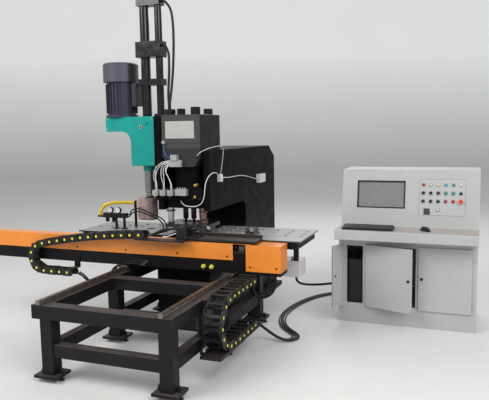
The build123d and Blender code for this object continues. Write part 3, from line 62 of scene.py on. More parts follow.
# The console's desk and sloping face, with the first lamp and the steps of the controls
console_left = 1.221
desk_height = 0.866
slope_foot = 0.590
face_angle = 0.17671
first_column = 0.710
column_step = 0.0623
first_row = 0.380
row_step = 0.072
lamp_count = 6
selector_count = 6
selectors_in_row = 3

# Camera
photo_width = 489
focal_pixels = 600
sensor_width = 36
view_depth = 100
camera_place = (2.36, -4.82, 1.75)
camera_turn = 0.370
camera_dip = 0.117
camera_roll = -0.017


def set_camera():
    """The camera at the photograph's viewing angle."""
    level = Vector((-sin(camera_turn), cos(camera_turn), 0))
    side = Vector((cos(camera_turn), sin(camera_turn), 0))
    up = Vector(to_top)
    forward = cos(camera_dip) * level - sin(camera_dip) * up
    upright = cos(camera_dip) * up + sin(camera_dip) * level
    right = cos(camera_roll) * side + sin(camera_roll) * upright
    top = -sin(camera_roll) * side + cos(camera_roll) * upright
    turn = Matrix((right, top, -forward)).transposed()
    data = bpy.data.cameras.new("camera")
    data.sensor_width = sensor_width
    data.lens = focal_pixels / photo_width * sensor_width
    data.clip_end = view_depth
    camera = bpy.data.objects.new("camera", data)
    camera.matrix_world = Matrix.Translation(camera_place) @ turn.to_4x4()
    bpy.context.scene.collection.objects.link(camera)
    bpy.context.scene.camera = camera


# Lamps, each with its place, the place it points at and its power
lamp_size = 4.0
lamps = {
    "window": ((-3.5, -5.0, 5.5), (0, 0, 0.8), 285),
    "hall": ((4.5, -3.5, 5.0), (0.6, 0, 0.8), 215),
    "rear": ((0.5, 5.5, 5.5), (0.5, 0.5, 1.0), 140),
}


def add_lamp(name, place, aim, power):
    """A soft square lamp that points at a place."""
    data = bpy.data.lights.new(name, "AREA")
    data.size = lamp_size
    data.energy = power
    lamp = bpy.data.objects.new(name, data)
    lamp.location = place
    lamp.rotation_euler = (Vector(aim) - Vector(place)).to_track_quat("-Z", "Y").to_euler()
    bpy.context.scene.collection.objects.link(lamp)


set_camera()
bpy.context.scene.view_settings.view_transform = "Standard"
for lamp_name, (lamp_place, lamp_aim, lamp_power) in lamps.items():
    add_lamp(lamp_name, lamp_place, lamp_aim, lamp_power)

# Finishes: the part of a noise's range that shows, and the scale and depth of each layer
patch_span = (0.3, 0.7)
speck_span = (0.35, 0.65)
speck_fineness = 9
patch_lift = 0.6
speck_share = 0.4
gloss_scale = 14
gloss_span = (-0.08, 0.1)
# The top-face layer: dusty patches, and also a painted sheen of light that makes top faces paler and browner
dust_and_sheen_scale = 9
dust_and_sheen_slope = (0.5, 1.0)
dust_and_sheen_share = (0.5, 1)
dust_and_sheen_colour = (0.28, 0.235, 0.215)
bump_depth = 0.001
zone_edge = 0.0005
mix_inputs = (6, 7)
mix_output = 2


def object_noise(tree, scale, detail=3, stretch=(1, 1, 1)):
    """A noise factor on Object coordinates."""
    place = tree.nodes.new("ShaderNodeTexCoord")
    shape = tree.nodes.new("ShaderNodeMapping")
    shape.inputs["Scale"].default_value = stretch
    noise = tree.nodes.new("ShaderNodeTexNoise")
    noise.inputs["Scale"].default_value = scale
    noise.inputs["Detail"].default_value = detail
    tree.links.new(place.outputs["Object"], shape.inputs["Vector"])
    tree.links.new(shape.outputs["Vector"], noise.inputs["Vector"])
    return noise.outputs["Fac"]


def ranged(tree, value, low, high, new_low, new_high):
    """A value carried from one range to another."""
    step = tree.nodes.new("ShaderNodeMapRange")
    sockets = ("From Min", "From Max", "To Min", "To Max")
    for socket, number in zip(sockets, (low, high, new_low, new_high)):
        step.inputs[socket].default_value = number
    tree.links.new(value, step.inputs["Value"])
    return step.outputs["Result"]


def mixed(tree, factor, first, second):
    """Two colours, or colour outputs, mixed by a factor."""
    mix = tree.nodes.new("ShaderNodeMix")
    mix.data_type = "RGBA"
    tree.links.new(factor, mix.inputs["Factor"])
    for number, value in zip(mix_inputs, (first, second)):
        if isinstance(value, tuple):
            mix.inputs[number].default_value = (*value, 1)
        else:
            tree.links.new(value, mix.inputs[number])
    return mix.outputs[mix_output]


def scaled(tree, colour, factor):
    """A colour, or a colour output, made lighter or darker by a factor."""
    scale = tree.nodes.new("ShaderNodeVectorMath")
    scale.operation = "SCALE"
    if isinstance(colour, tuple):
        scale.inputs[0].default_value = colour
    else:
        tree.links.new(colour, scale.inputs[0])
    tree.links.new(factor, scale.inputs["Scale"])
    return scale.outputs["Vector"]


def multiplied(tree, first, second):
    """The product of two values."""
    product = tree.nodes.new("ShaderNodeMath")
    product.operation = "MULTIPLY"
    tree.links.new(first, product.inputs[0])
    tree.links.new(second, product.inputs[1])
    return product.outputs["Value"]


def split_place(tree):
    """The Object coordinates, one output for each axis."""
    place = tree.nodes.new("ShaderNodeTexCoord")
    split = tree.nodes.new("ShaderNodeSeparateXYZ")
    tree.links.new(place.outputs["Object"], split.inputs["Vector"])
    return split.outputs


def zoned(tree, colour, zones):
    """A colour with other ones in its zones. A zone is a group of (axis, low, high) spans and a colour."""
    axes = split_place(tree)
    for spans, zone_colour in zones:
        inside = None
        for axis, low, high in spans:
            above = ranged(tree, axes[axis], low, low + zone_edge, 0, 1)
            below = ranged(tree, axes[axis], high, high + zone_edge, 1, 0)
            both = multiplied(tree, above, below)
            inside = both if inside is None else multiplied(tree, inside, both)
        colour = mixed(tree, inside, colour, zone_colour)
    return colour


def dusted_and_sheened(tree, colour, dust_and_sheen):
    """A colour made paler and browner on what faces up: partly dusty patches, partly a painted sheen of
    light on top faces.
    """
    normal = tree.nodes.new("ShaderNodeNewGeometry")
    facing = tree.nodes.new("ShaderNodeSeparateXYZ")
    tree.links.new(normal.outputs["Normal"], facing.inputs["Vector"])
    upward = ranged(tree, facing.outputs["Z"], *dust_and_sheen_slope, 0, dust_and_sheen)
    patches = ranged(tree, object_noise(tree, dust_and_sheen_scale, detail=5), *patch_span, *dust_and_sheen_share)
    return mixed(tree, multiplied(tree, upward, patches), colour, dust_and_sheen_colour)


def finish(name, colour, roughness, metal=0.0, vary=0.12, scale=6, grain=(1, 1, 1), bump=0.0, bump_scale=120,
           dust_and_sheen=0.0, zones=(), coat=0.0, shine=0.5):
    """A procedural finish: patchy colour, uneven gloss, a fine bump, and dusty patches with a painted sheen
    on what faces up.
    """
    material = bpy.data.materials.new(name)
    material.use_nodes = True
    tree = material.node_tree
    surface = tree.nodes["Principled BSDF"]
    surface.inputs["Metallic"].default_value = metal
    surface.inputs["Coat Weight"].default_value = coat
    surface.inputs["Specular IOR Level"].default_value = shine
    if zones:
        colour = zoned(tree, colour, zones)
    broad = object_noise(tree, scale, 4, grain)
    fine = object_noise(tree, scale * speck_fineness, 3, grain)
    patches = ranged(tree, broad, *patch_span, 1 - vary, 1 + vary * patch_lift)
    specks = ranged(tree, fine, *speck_span, 1 - vary * speck_share, 1 + vary * speck_share)
    colour = scaled(tree, colour, multiplied(tree, patches, specks))
    # Dusty patches, with a painted sheen of light, on top faces
    if dust_and_sheen:
        colour = dusted_and_sheened(tree, colour, dust_and_sheen)
    tree.links.new(colour, surface.inputs["Base Color"])
    uneven = object_noise(tree, gloss_scale, 4, grain)
    gloss = ranged(tree, uneven, *patch_span, roughness + gloss_span[0], roughness + gloss_span[1])
    tree.links.new(gloss, surface.inputs["Roughness"])
    if bump:
        relief = tree.nodes.new("ShaderNodeBump")
        relief.inputs["Strength"].default_value = bump
        relief.inputs["Distance"].default_value = bump_depth
        tree.links.new(object_noise(tree, bump_scale, 3, grain), relief.inputs["Height"])
        tree.links.new(relief.outputs["Normal"], surface.inputs["Normal"])
    return material


# Colours that several finishes or zones share
black = (0.012, 0.012, 0.014)
chrome = (0.72, 0.72, 0.74)
copper = (0.36, 0.20, 0.15)
console_grey = (0.485, 0.49, 0.488)
signal_green = (0.02, 0.34, 0.24)
cream = (0.72, 0.70, 0.42)

# Spans of the frame where a finish has another colour
head_caps = ("Z", 1.8852, 3.0)
head_foot = ("Z", 1.4, 1.6)
# The head box's right side, where near black is painted shade
head_shade_side = ("X", 0.1815, 0.3)
# The drill casting's right side, painted black: its black bracket, and painted shade on the side face
casting_right_side = ("X", -0.3145, 0.0)
fan_cover = ("Z", 2.195, 2.4)
motor_terminals = ("X", -0.5725, -0.4)
# The desk top, where its beige is a painted reflection of the warm floor
desk_level = ("Z", 0.8655, 0.867)
desk_depth = ("Y", 0.2, 0.589)
socket_spans = (("X", 1.936, 1.990), ("Y", 0.5, 0.614), ("Z", 0.98, 1.07))
box_hanger = ("Z", 0.5775, 0.9)
box_gland = ("Z", 0.3, 0.4315)
table_front_edge = ("Y", -0.2605, -0.2565)
punch_heights = ("Z", 0.8, 1.09)
post_top = ("Z", 1.0562, 1.3)
post_foot = ("Z", 0.95, 1.0438)
left_post = ("X", -0.3, 0.0)
right_post = ("X", 0.0, 0.3)
yellow_hose_spans = (("X", -0.98, -0.5), ("Z", 0.96, 1.2))
blue_line_spans = (("X", -0.2, 0.0), ("Z", 1.508, 1.7))

# Paints
black_paint = finish("black_paint", black, 0.36, vary=0.2, bump=0.15, dust_and_sheen=0.2, shine=0.25)
beam_paint = finish("beam_paint", (0.009, 0.008, 0.008), 0.38, vary=0.2, bump=0.15, dust_and_sheen=0.2, shine=0.14)
column_paint = finish("column_paint", black, 0.16, vary=0.2, bump=0.03)
base_paint = finish("base_black_paint", (0.012, 0.011, 0.014), 0.40, vary=0.25, bump=0.2, dust_and_sheen=0.26,
                    shine=0.18)
frame_paint = finish("frame_black_paint", (0.0065, 0.006, 0.0065), 0.42, vary=0.25, bump=0.1, dust_and_sheen=0.08,
                     shine=0.05)
carriage_paint = finish("carriage_paint", (0.030, 0.025, 0.023), 0.38, vary=0.3, bump=0.15, dust_and_sheen=0.22,
                        shine=0.35)
block_paint = finish("block_paint", (0.011, 0.010, 0.011), 0.34, vary=0.3, scale=18, bump=0.1, dust_and_sheen=0.1,
                     shine=0.4)
head_paint = finish(
    "charcoal_paint", (0.066, 0.065, 0.066), 0.42, vary=0.08, bump=0.1, shine=0.2,
    zones=(((head_caps,), (0.014, 0.014, 0.016)),
           ((head_foot,), (0.035, 0.035, 0.04)),
           # Near black on the head's right side is painted shade
           ((head_shade_side,), (0.007, 0.007, 0.008))),
)
orange_paint = finish("orange_paint", (0.90, 0.28, 0.032), 0.34, vary=0.06, scale=3, bump=0.06, coat=0.2)
# The casting's right side is painted black, for its black bracket and for painted shade on the side face
teal_paint = finish("teal_paint", (0.004, 0.32, 0.275), 0.34, bump=0.08, coat=0.1, shine=0.35,
                    zones=(((casting_right_side,), black),))
violet_paint = finish(
    "violet_paint", (0.040, 0.036, 0.075), 0.40, bump=0.1,
    zones=(((fan_cover,), (0.085, 0.079, 0.115)),
           ((motor_terminals,), (0.02, 0.02, 0.024))),
)
console_paint = finish("console_paint", console_grey, 0.42, vary=0.04, scale=3, bump=0.06)
# The desk top's beige zone is a painted reflection of the warm floor
housing_paint = finish("housing_paint", console_grey, 0.42, vary=0.04, scale=3, bump=0.06,
                       zones=(((desk_level, desk_depth), (0.44, 0.40, 0.37)),))
panel_paint = finish("panel_paint", (0.51, 0.515, 0.512), 0.40, vary=0.03, scale=3, bump=0.05,
                     zones=((socket_spans, (0.05, 0.05, 0.055)),))
white_paint = finish("white_paint", (0.82, 0.80, 0.79), 0.45, vary=0.05, bump=0.05,
                     zones=(((box_hanger,), black), ((box_gland,), black)))

# Metals
table_steel = finish(
    "table_steel", (0.40, 0.40, 0.395), 0.36, metal=0.45, vary=0.16, scale=3, grain=(1, 5, 1), bump=0.1,
    bump_scale=60, dust_and_sheen=0.12,
    zones=(((table_front_edge,), (0.06, 0.06, 0.06)),),
)
steel = finish("ground_steel", (0.34, 0.335, 0.33), 0.32, metal=0.85, vary=0.2, grain=(1, 1, 8), bump=0.06)
clamp_steel = finish("clamp_steel", (0.135, 0.13, 0.13), 0.34, metal=0.7, vary=0.3, scale=14, bump=0.1)
rail_steel = finish("rail_steel", (0.22, 0.185, 0.165), 0.3, metal=0.75, vary=0.25, grain=(1, 6, 1),
                    bump=0.05)
bright_steel = finish("bright_steel", chrome, 0.16, metal=1.0, vary=0.06,
                      zones=(((punch_heights,), (0.03, 0.03, 0.03)),))
post_zones = tuple(
    ((height, side), colour)
    for height in (post_top, post_foot)
    for side, colour in ((left_post, chrome), (right_post, copper))
)
post_steel = finish("post_steel", (0.10, 0.10, 0.105), 0.3, metal=0.85, vary=0.1, grain=(1, 1, 6), bump=0.05,
                    zones=post_zones)
sleeve_steel = finish("sleeve_steel", (0.30, 0.30, 0.31), 0.3, metal=0.8, vary=0.15, grain=(1, 1, 5))
# The drill foot's strong light and dark patches are partly its rough cast tone and partly painted highlights
# and shade
cast_steel = finish("cast_steel", (0.46, 0.33, 0.32), 0.34, metal=0.4, vary=0.75, scale=11, bump=0.7,
                    bump_scale=60)
plate_metal = finish("plate_metal", (0.54, 0.535, 0.51), 0.34, metal=0.35, vary=0.05, grain=(1, 1, 9))
brass = finish("brass", (0.80, 0.55, 0.12), 0.28, metal=0.9, vary=0.1)
silver = finish("silver_fitting", (0.50, 0.50, 0.50), 0.32, metal=0.7, vary=0.15)
valve_metal = finish("valve_metal", (0.46, 0.46, 0.45), 0.36, metal=0.4, vary=0.15)

# Plastics and rubber
black_plastic = finish("black_plastic", (0.012, 0.012, 0.013), 0.42, vary=0.2, bump=0.1, dust_and_sheen=0.08,
                       shine=0.35)
dot_plastic = finish("yellow_dot", (0.80, 0.72, 0.06), 0.4, vary=0.05)
plug_yellow = finish("plug_yellow", (0.72, 0.68, 0.10), 0.4, vary=0.1)
rubber = finish("cable_rubber", (0.009, 0.008, 0.009), 0.34, vary=0.3, scale=18, dust_and_sheen=0.03, shine=0.26)
hose_mix = finish("air_line_plastic", (0.66, 0.67, 0.68), 0.4, vary=0.05,
                  zones=((yellow_hose_spans, (0.82, 0.55, 0.02)), (blue_line_spans, (0.03, 0.10, 0.42))))
lead_plastic = finish("lead_plastic", (0.60, 0.60, 0.60), 0.35, vary=0.05)
key_plastic = finish("key_plastic", (0.035, 0.030, 0.036), 0.42, vary=0.2)
line_grey = finish("line_grey", (0.16, 0.16, 0.165), 0.5, vary=0.05)
screen_face = finish("screen_face", (0.24, 0.24, 0.24), 0.25, vary=0.06, scale=2)
gauge_face = finish("gauge_face", (0.75, 0.76, 0.76), 0.3, vary=0.03, coat=0.6)


def cap_finish(name, colour):
    """The glossy plastic of a push button or plug."""
    return finish(name, colour, 0.3, vary=0.05, coat=0.4)


red_cap = cap_finish("red_cap", (0.52, 0.02, 0.07))
green_cap = cap_finish("green_cap", signal_green)
teal_cap = cap_finish("teal_cap", (0.02, 0.30, 0.32))
white_cap = cap_finish("white_cap", (0.72, 0.72, 0.70))
stop_cap = cap_finish("stop_cap", (0.80, 0.16, 0.02))


def lamp_finish():
    """One lens finish for the six lamps, with a colour for each column."""
    lenses = ((0.42, 0.02, 0.05), cream, cream, (0.03, 0.40, 0.46), signal_green, (0.72, 0.73, 0.72))
    zones = []
    for column, lens in enumerate(lenses):
        middle = console_left + first_column + column * column_step
        zones.append(((("X", middle - column_step / 2, middle + column_step / 2),), lens))
    return finish("lamp_lens", (0.5, 0.5, 0.5), 0.25, vary=0.03, zones=zones, coat=0.5)


def paint_node(node, material):
    """Give a CAD node its finish."""
    data = nodes[node].data
    data.materials.clear()
    data.materials.append(material)


finishes = {
    "c_frame": frame_paint, "base_weldment": base_paint, "levelling_feet": base_paint, "y_rails": rail_steel,
    "y_drive_motor": black_paint, "tables": table_steel, "ball_units": steel, "die_block": steel,
    "head_box": head_paint, "punch_guide": frame_paint, "pneumatic_valves": valve_metal,
    "air_lines": hose_mix, "drill_casting": teal_paint, "drill_motor": violet_paint,
    "feed_columns": column_paint, "hydraulic_hoses": rubber, "air_unit": black_paint,
    "junction_boxes": white_paint,
    "console_cabinet": console_paint, "console_housing": housing_paint, "screen": screen_face,
    "button_panel": panel_paint, "indicator_lamps": lamp_finish(), "computer": black_plastic,
    "keyboard_and_mouse": black_plastic, "chain_tray": black_paint, "x_beam": beam_paint,
    "beam_cover": orange_paint, "beam_guides": rail_steel, "beam_leads": rubber, "carriage": carriage_paint,
    "cable_block": block_paint, "clamp_bodies": clamp_steel, "clamp_jaw_1": clamp_steel,
    "clamp_jaw_2": clamp_steel, "hold_down": post_steel, "punch_ram": bright_steel,
    "drill_quill": sleeve_steel, "drill_spindle": steel, "drill_foot": cast_steel,
    "left_door": console_paint, "middle_door": console_paint, "right_door": console_paint,
    "key_switch": black_plastic, "emergency_stop": stop_cap, "push_button_1": green_cap,
    "push_button_2": teal_cap, "push_button_3": red_cap, "push_button_4": red_cap,
    "push_button_5": white_cap,
}
for number in range(selector_count):
    finishes[f"selector_{number + 1}"] = black_plastic
for node, material in finishes.items():
    paint_node(node, material)

# Pieces of trim
screw_edge = 0.001


def place_piece(name, shape, material, body, smooth=False):
    """Turn a bmesh into a piece that rides on a body."""
    mesh = bpy.data.meshes.new(name)
    bmesh.ops.recalc_face_normals(shape, faces=shape.faces)
    shape.to_mesh(mesh)
    shape.free()
    mesh.materials.append(material)
    for face in mesh.polygons:
        face.use_smooth = smooth
    piece = bpy.data.objects.new(name, mesh)
    bpy.context.scene.collection.objects.link(piece)
    if body:
        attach(piece, body)
    return piece


def soften(shape, edges, amount, segments=2):
    """Round some edges of a bmesh."""
    bmesh.ops.bevel(shape, geom=edges, offset=amount, offset_type="OFFSET", segments=segments, profile=0.5,
                    affect="EDGES", clamp_overlap=True, material=-1)


def edges_of(made):
    """The edges of what a bmesh operator has just made."""
    return {edge for vertex in made["verts"] for edge in vertex.link_edges}


def turn_to(axis):
    """The turn that carries +Z to an axis."""
    return Vector(axis).to_track_quat("Z", "Y").to_matrix().to_4x4()


def add_block(shape, low, high, round_by=0.0):
    """A block between two corners, with rounded edges."""
    centre = (Vector(low) + Vector(high)) / 2
    size = Vector(high) - Vector(low)
    place = Matrix.Translation(centre) @ Matrix.Diagonal((*size, 1))
    made = bmesh.ops.create_cube(shape, size=1, matrix=place)
    if round_by:
        soften(shape, list(edges_of(made)), round_by)


def add_disc(shape, place, axis, radius, thickness, round_by=0.0, sides=20):
    """A round button whose back lies at a place and which rises along an axis."""
    middle = Vector(place) + Vector(axis).normalized() * thickness / 2
    made = bmesh.ops.create_cone(shape, cap_ends=True, segments=sides, radius1=radius, radius2=radius,
                                 depth=thickness, matrix=Matrix.Translation(middle) @ turn_to(axis))
    if round_by:
        rims = [edge for edge in edges_of(made)
                if len(edge.link_faces) == 2 and any(len(face.verts) > 4 for face in edge.link_faces)]
        soften(shape, rims, round_by)


def add_ring(shape, place, axis, inner, outer, thickness, sides=28):
    """A flat ring whose back lies at a place and which rises along an axis."""
    rims = []
    for radius in (inner, outer):
        made = bmesh.ops.create_circle(shape, segments=sides, radius=radius,
                                       matrix=Matrix.Translation(place) @ turn_to(axis))
        rims.extend(edges_of(made))
    flat = bmesh.ops.bridge_loops(shape, edges=rims)
    raised = bmesh.ops.extrude_face_region(shape, geom=flat["faces"], use_keep_orig=True)
    moved = [item for item in raised["geom"] if isinstance(item, bmesh.types.BMVert)]
    bmesh.ops.translate(shape, verts=moved, vec=Vector(axis).normalized() * thickness)


def add_hex_bolt(shape, place, axis, width, height):
    """A hexagon head on a washer."""
    washer = height * 0.2
    add_disc(shape, place, axis, width * 0.72, washer, sides=16)
    start = Vector(place) + Vector(axis).normalized() * washer
    add_disc(shape, start, axis, width * 0.55, height - washer, round_by=height * 0.08, sides=6)


def add_screw(shape, place, axis, radius, height):
    """A low round screw head, which a name such as plate_screw gives as radius and height."""
    add_disc(shape, place, axis, radius, height, round_by=min(height / 3, screw_edge), sides=12)


def add_plug(shape, place, axis, foot, nose, foot_sides=8, nose_sides=16):
    """A plug of a faceted foot and a round nose, each given as radius, height and rounding."""
    add_disc(shape, place, axis, foot[0], foot[1], round_by=foot[2], sides=foot_sides)
    start = Vector(place) + Vector(axis).normalized() * foot[1]
    add_disc(shape, start, axis, nose[0], nose[1], round_by=nose[2], sides=nose_sides)


# Floor and backdrop
floor_half = 22
wall_height = 14
fold_radius = 4
fold_segments = 12
floor_drop = 0.0005
glow_heights = (0.0, 5.0)
glow_strengths = (0.04, 0.42)
glow_colour = (0.94, 0.95, 0.96, 1)
sky_colour = (0.90, 0.91, 0.92, 1)
sky_strength = 0.46
floor_material = finish("pale_floor", (0.74, 0.735, 0.72), 0.6, vary=0.03, scale=0.6)


def lighten_backdrop():
    """The backdrop looks paler to the camera and in reflections as it rises, without lighting the object."""
    tree = floor_material.node_tree
    surface = tree.nodes["Principled BSDF"]
    surface.inputs["Emission Color"].default_value = glow_colour
    seen = tree.nodes.new("ShaderNodeLightPath")
    rays = tree.nodes.new("ShaderNodeMath")
    rays.operation = "MAXIMUM"
    tree.links.new(seen.outputs["Is Camera Ray"], rays.inputs[0])
    tree.links.new(seen.outputs["Is Glossy Ray"], rays.inputs[1])
    rising = ranged(tree, split_place(tree)["Z"], *glow_heights, *glow_strengths)
    tree.links.new(multiplied(tree, rays.outputs["Value"], rising), surface.inputs["Emission Strength"])


def build_stage():
    """A pale floor that curves up into a backdrop behind the machine."""
    shape = bmesh.new()
    bmesh.ops.create_grid(shape, x_segments=1, y_segments=1, size=floor_half)
    far = [edge for edge in shape.edges if all(vertex.co.y > 1 for vertex in edge.verts)]
    bmesh.ops.extrude_edge_only(shape, edges=far)
    raised = [vertex for vertex in shape.verts if vertex.co.y > 1][-2:]
    bmesh.ops.translate(shape, verts=raised, vec=(0, 0, wall_height))
    fold = [edge for edge in shape.edges if len(edge.link_faces) == 2]
    soften(shape, fold, fold_radius, fold_segments)
    bmesh.ops.rotate(shape, verts=shape.verts, matrix=Matrix.Rotation(camera_turn, 3, "Z"))
    stage = place_piece("stage", shape, floor_material, None, smooth=True)
    stage.location = (0, 0, -floor_drop)


def set_sky():
    """An even pale light from all sides."""
    world = bpy.data.worlds.new("world")
    bpy.context.scene.world = world
    world.use_nodes = True
    sky = world.node_tree.nodes["Background"]
    sky.inputs["Color"].default_value = sky_colour
    sky.inputs["Strength"].default_value = sky_strength


lighten_backdrop()
build_stage()
set_sky()

# Cords, with their routes in millimetres
millimetre = 0.001
bundle_points = [
    (690, -436, 200), (695, -376, 194), (720, -318, 162), (764, -274, 110), (826, -252, 60),
    (898, -250, 28), (962, -218, 18), (994, -152, 18), (976, -78, 18), (918, -14, 18),
    (838, 66, 18), (768, 184, 18), (716, 330, 18), (694, 500, 18), (702, 680, 18),
    (736, 860, 18), (792, 1030, 18), (872, 1180, 18), (976, 1296, 18), (1100, 1366, 18),
    (1230, 1370, 20), (1340, 1310, 42), (1418, 1226, 82), (1454, 1140, 112), (1454, 1074, 112),
]
console_points = [
    (858, 320, 418), (858, 320, 384), (884, 336, 352), (930, 372, 334), (984, 420, 324), (1040, 470, 318),
    (1096, 520, 315), (1146, 566, 314), (1182, 598, 314), (1207, 598, 314),
]
signal_points = [
    (150, -216, 1525), (158, -240, 1534), (192, -246, 1566), (238, -170, 1598), (264, -30, 1612),
    (277, 36, 1606), (281, 46, 1566), (279, 30, 1490), (275, 6, 1414), (272, -9, 1358),
]
bundle_radius = 16
console_lead_radius = 11
signal_lead_radius = 3.5

# Strands of the floor bundle: where each lies on the floor and where it lies in the gathered ends
strand_radius = 6.5
strand_floor = 7
strand_rows = (-28, -9.5, 9.5, 28)
strand_corners = ((-7, -7), (-7, 7), (7, -7), (7, 7))
gather_length = 520
wander_share = 0.25
wander_length = 300


def curve_length(piece):
    """Length of a curve's spline as Blender draws it."""
    bevel = piece.data.bevel_depth
    piece.data.bevel_depth = 0
    line = bpy.data.meshes.new_from_object(piece.evaluated_get(bpy.context.evaluated_depsgraph_get()))
    places = [vertex.co for vertex in line.vertices]
    ends = [tuple(edge.vertices) for edge in line.edges]
    total = sum((places[first] - places[last]).length for first, last in ends)
    piece.data.bevel_depth = bevel
    bpy.data.meshes.remove(line)
    return total


def lay_cord(name, points, radius, material, node=None):
    """A free cord along a route's points. Its bevel is 1 deep, so a point's radius is the cord's own."""
    data = bpy.data.curves.new(name, "CURVE")
    data.dimensions = "3D"
    data.resolution_u = 10
    spline = data.splines.new("NURBS")
    spline.points.add(len(points) - 1)
    for knot, point in zip(spline.points, points):
        knot.co = (*(Vector(point) * millimetre), 1)
        knot.radius = radius * millimetre
    spline.order_u = 3
    spline.use_endpoint_u = True
    data.bevel_depth = 1
    data.bevel_resolution = 4
    data.use_fill_caps = True
    data.materials.append(material)
    piece = bpy.data.objects.new(name, data)
    bpy.context.scene.collection.objects.link(piece)
    bpy.context.view_layer.update()
    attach(piece, "base")
    if node:
        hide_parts(node)
    length = curve_length(piece)
    tuple(Vector(points[0]) * millimetre)


def bundle_strand(number):
    """The route of one strand: gathered with the others at both ends, side by side on the floor between."""
    points = [Vector(point) for point in bundle_points]
    runs = [0.0]
    for before, after in zip(points, points[1:]):
        runs.append(runs[-1] + (after - before).length)
    route = []
    for place, run in enumerate(runs):
        before = points[max(place - 1, 0)]
        after = points[min(place + 1, len(points) - 1)]
        along = after - before
        side = along.cross(Vector(to_top)).normalized()
        above = side.cross(along).normalized()
        spread = min(1, run / gather_length, (runs[-1] - run) / gather_length)
        wander = 1 + wander_share * sin(run / wander_length + number)
        across = spread * strand_rows[number] * wander + (1 - spread) * strand_corners[number][0]
        height = (1 - spread) * strand_corners[number][1]
        point = points[place] + across * side + height * above
        point.z = max(strand_floor, point.z - spread * (bundle_radius - strand_floor))
        route.append(tuple(point))
    return route


for number in range(len(strand_rows)):
    lay_cord(f"floor_strand_{number + 1}", bundle_strand(number), strand_radius, rubber,
             "floor_cable_bundle")
lay_cord("console_lead_cord", console_points, console_lead_radius, rubber, "console_lead")
lay_cord("signal_lead_cord", signal_points, signal_lead_radius, lead_plastic)

# Cable chains
merge_distance = 0.00001
far_away = 500.0
dot_radius = 0.0115
dot_rise = 0.003
dot_edge = 0.001
dot_sides = 14


def link_islands(shape):
    """The separate links of a chain's mesh."""
    unseen = set(shape.verts)
    while unseen:
        first = unseen.pop()
        island, open_ends = {first}, [first]
        while open_ends:
            vertex = open_ends.pop()
            for edge in vertex.link_edges:
                other = edge.other_vert(vertex)
                if other in unseen:
                    unseen.discard(other)
                    island.add(other)
                    open_ends.append(other)
        yield island


def middle_of(island):
    """Middle of a link's box."""
    low = Vector(min(vertex.co[axis] for vertex in island) for axis in range(3))
    high = Vector(max(vertex.co[axis] for vertex in island) for axis in range(3))
    return (low + high) / 2


def chain_piece(name, node, keep, start, end, dot_axis, dot_place):
    """The links of one stretch of a chain, with a coloured dot on each."""
    shape = bmesh.new()
    shape.from_mesh(nodes[node].data)
    bmesh.ops.remove_doubles(shape, verts=shape.verts, dist=merge_distance)
    middles = []
    unwanted = []
    for island in list(link_islands(shape)):
        middle = middle_of(island)
        if keep(middle):
            middles.append(middle)
        else:
            unwanted.extend(island)
    bmesh.ops.delete(shape, geom=unwanted, context="VERTS")
    links = place_piece(name, shape, black_plastic, None)
    dots = bmesh.new()
    for middle in middles:
        place = middle.copy()
        place[dot_place[0]] = dot_place[1]
        add_disc(dots, place, dot_axis, dot_radius, dot_rise, round_by=dot_edge, sides=dot_sides)
    marks = place_piece(name + "_dots", dots, dot_plastic, None)
    for piece in (links, marks):
        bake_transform(piece)
        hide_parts(node)


def build_chain(node, along, bend, fixed_end, moving_end, split_height, dot_axis, dot_place):
    """Three stretches of a chain: the lower run, the bend and the upper run."""
    outward = 1 if moving_end > bend else -1

    def past_bend(middle):
        return (middle[along] - bend) * outward > 0

    def point(axis, value):
        place = [0.0, 0.0, 0.0]
        place[axis] = value
        return tuple(place)

    chain_piece(node + "_lower", node, lambda middle: past_bend(middle) and middle.z < split_height,
                point(along, fixed_end), point(along, 2 * bend - fixed_end), dot_axis, dot_place)
    chain_piece(node + "_upper", node, lambda middle: past_bend(middle) and middle.z > split_height,
                point(along, 2 * bend - moving_end), point(along, moving_end), dot_axis, dot_place)
    across = 0 if along else 1
    chain_piece(node + "_bend", node, lambda middle: not past_bend(middle),
                point(across, -far_away), point(across, far_away), dot_axis, dot_place)


build_chain("x_chain", along=0, bend=-1.278, fixed_end=-0.96, moving_end=-0.212,
            split_height=0.64, dot_axis=to_front, dot_place=(1, -0.535))
build_chain("y_chain", along=1, bend=-0.96, fixed_end=-0.436, moving_end=-0.436,
            split_height=0.378, dot_axis=to_right, dot_place=(0, 0.752))

# Trim of the head, the drill casting and the junction box
plate_left = -0.147
plate_right = 0.128
plate_bottom = 1.683
plate_top = 1.829
plate_thickness = 0.0025
plate_edge = 0.001
plate_screw = (0.004, 0.0015)
plate_screw_inset = 0.008
guide_bolt = (0.013, 0.009)
guide_bolt_height = 1.165
guide_bolt_places = (-0.205, -0.12, 0.1, 0.17)
head_screw = (0.005, 0.003)
head_screw_side = 0.168
head_screw_heights = (1.872, 1.655)
brass_foot = (0.016, 0.036, 0.002)
brass_nose = (0.011, 0.03, 0.002)
brass_places = ((0.123, 1.282), (0.120, 1.182))
brass_foot_face = -0.155
signal_foot_place = (0.150, head_face, 1.525)
signal_nose_place = (0.1508, -0.227, 1.5274)
signal_plug_axis = (0.1, -1, 0.2)
sight_place = (-0.441, casting_face, 1.787)
sight_glass_radius = 0.0095
sight_rim = (0.009, 0.017)
casting_screw = (0.006, 0.003)
casting_screws = ((-0.790, 1.858), (-0.335, 1.858), (-0.790, 1.772), (-0.335, 1.470), (-0.535, 1.470))
box_plug_foot = (0.009, 0.012, 0.001)
box_plug_nose = (0.0065, 0.024, 0.002)
box_plug_y = 0.246
white_plug_places = (0.856, 0.882, 0.906)
red_plug_places = (0.842, 0.869, 0.894)


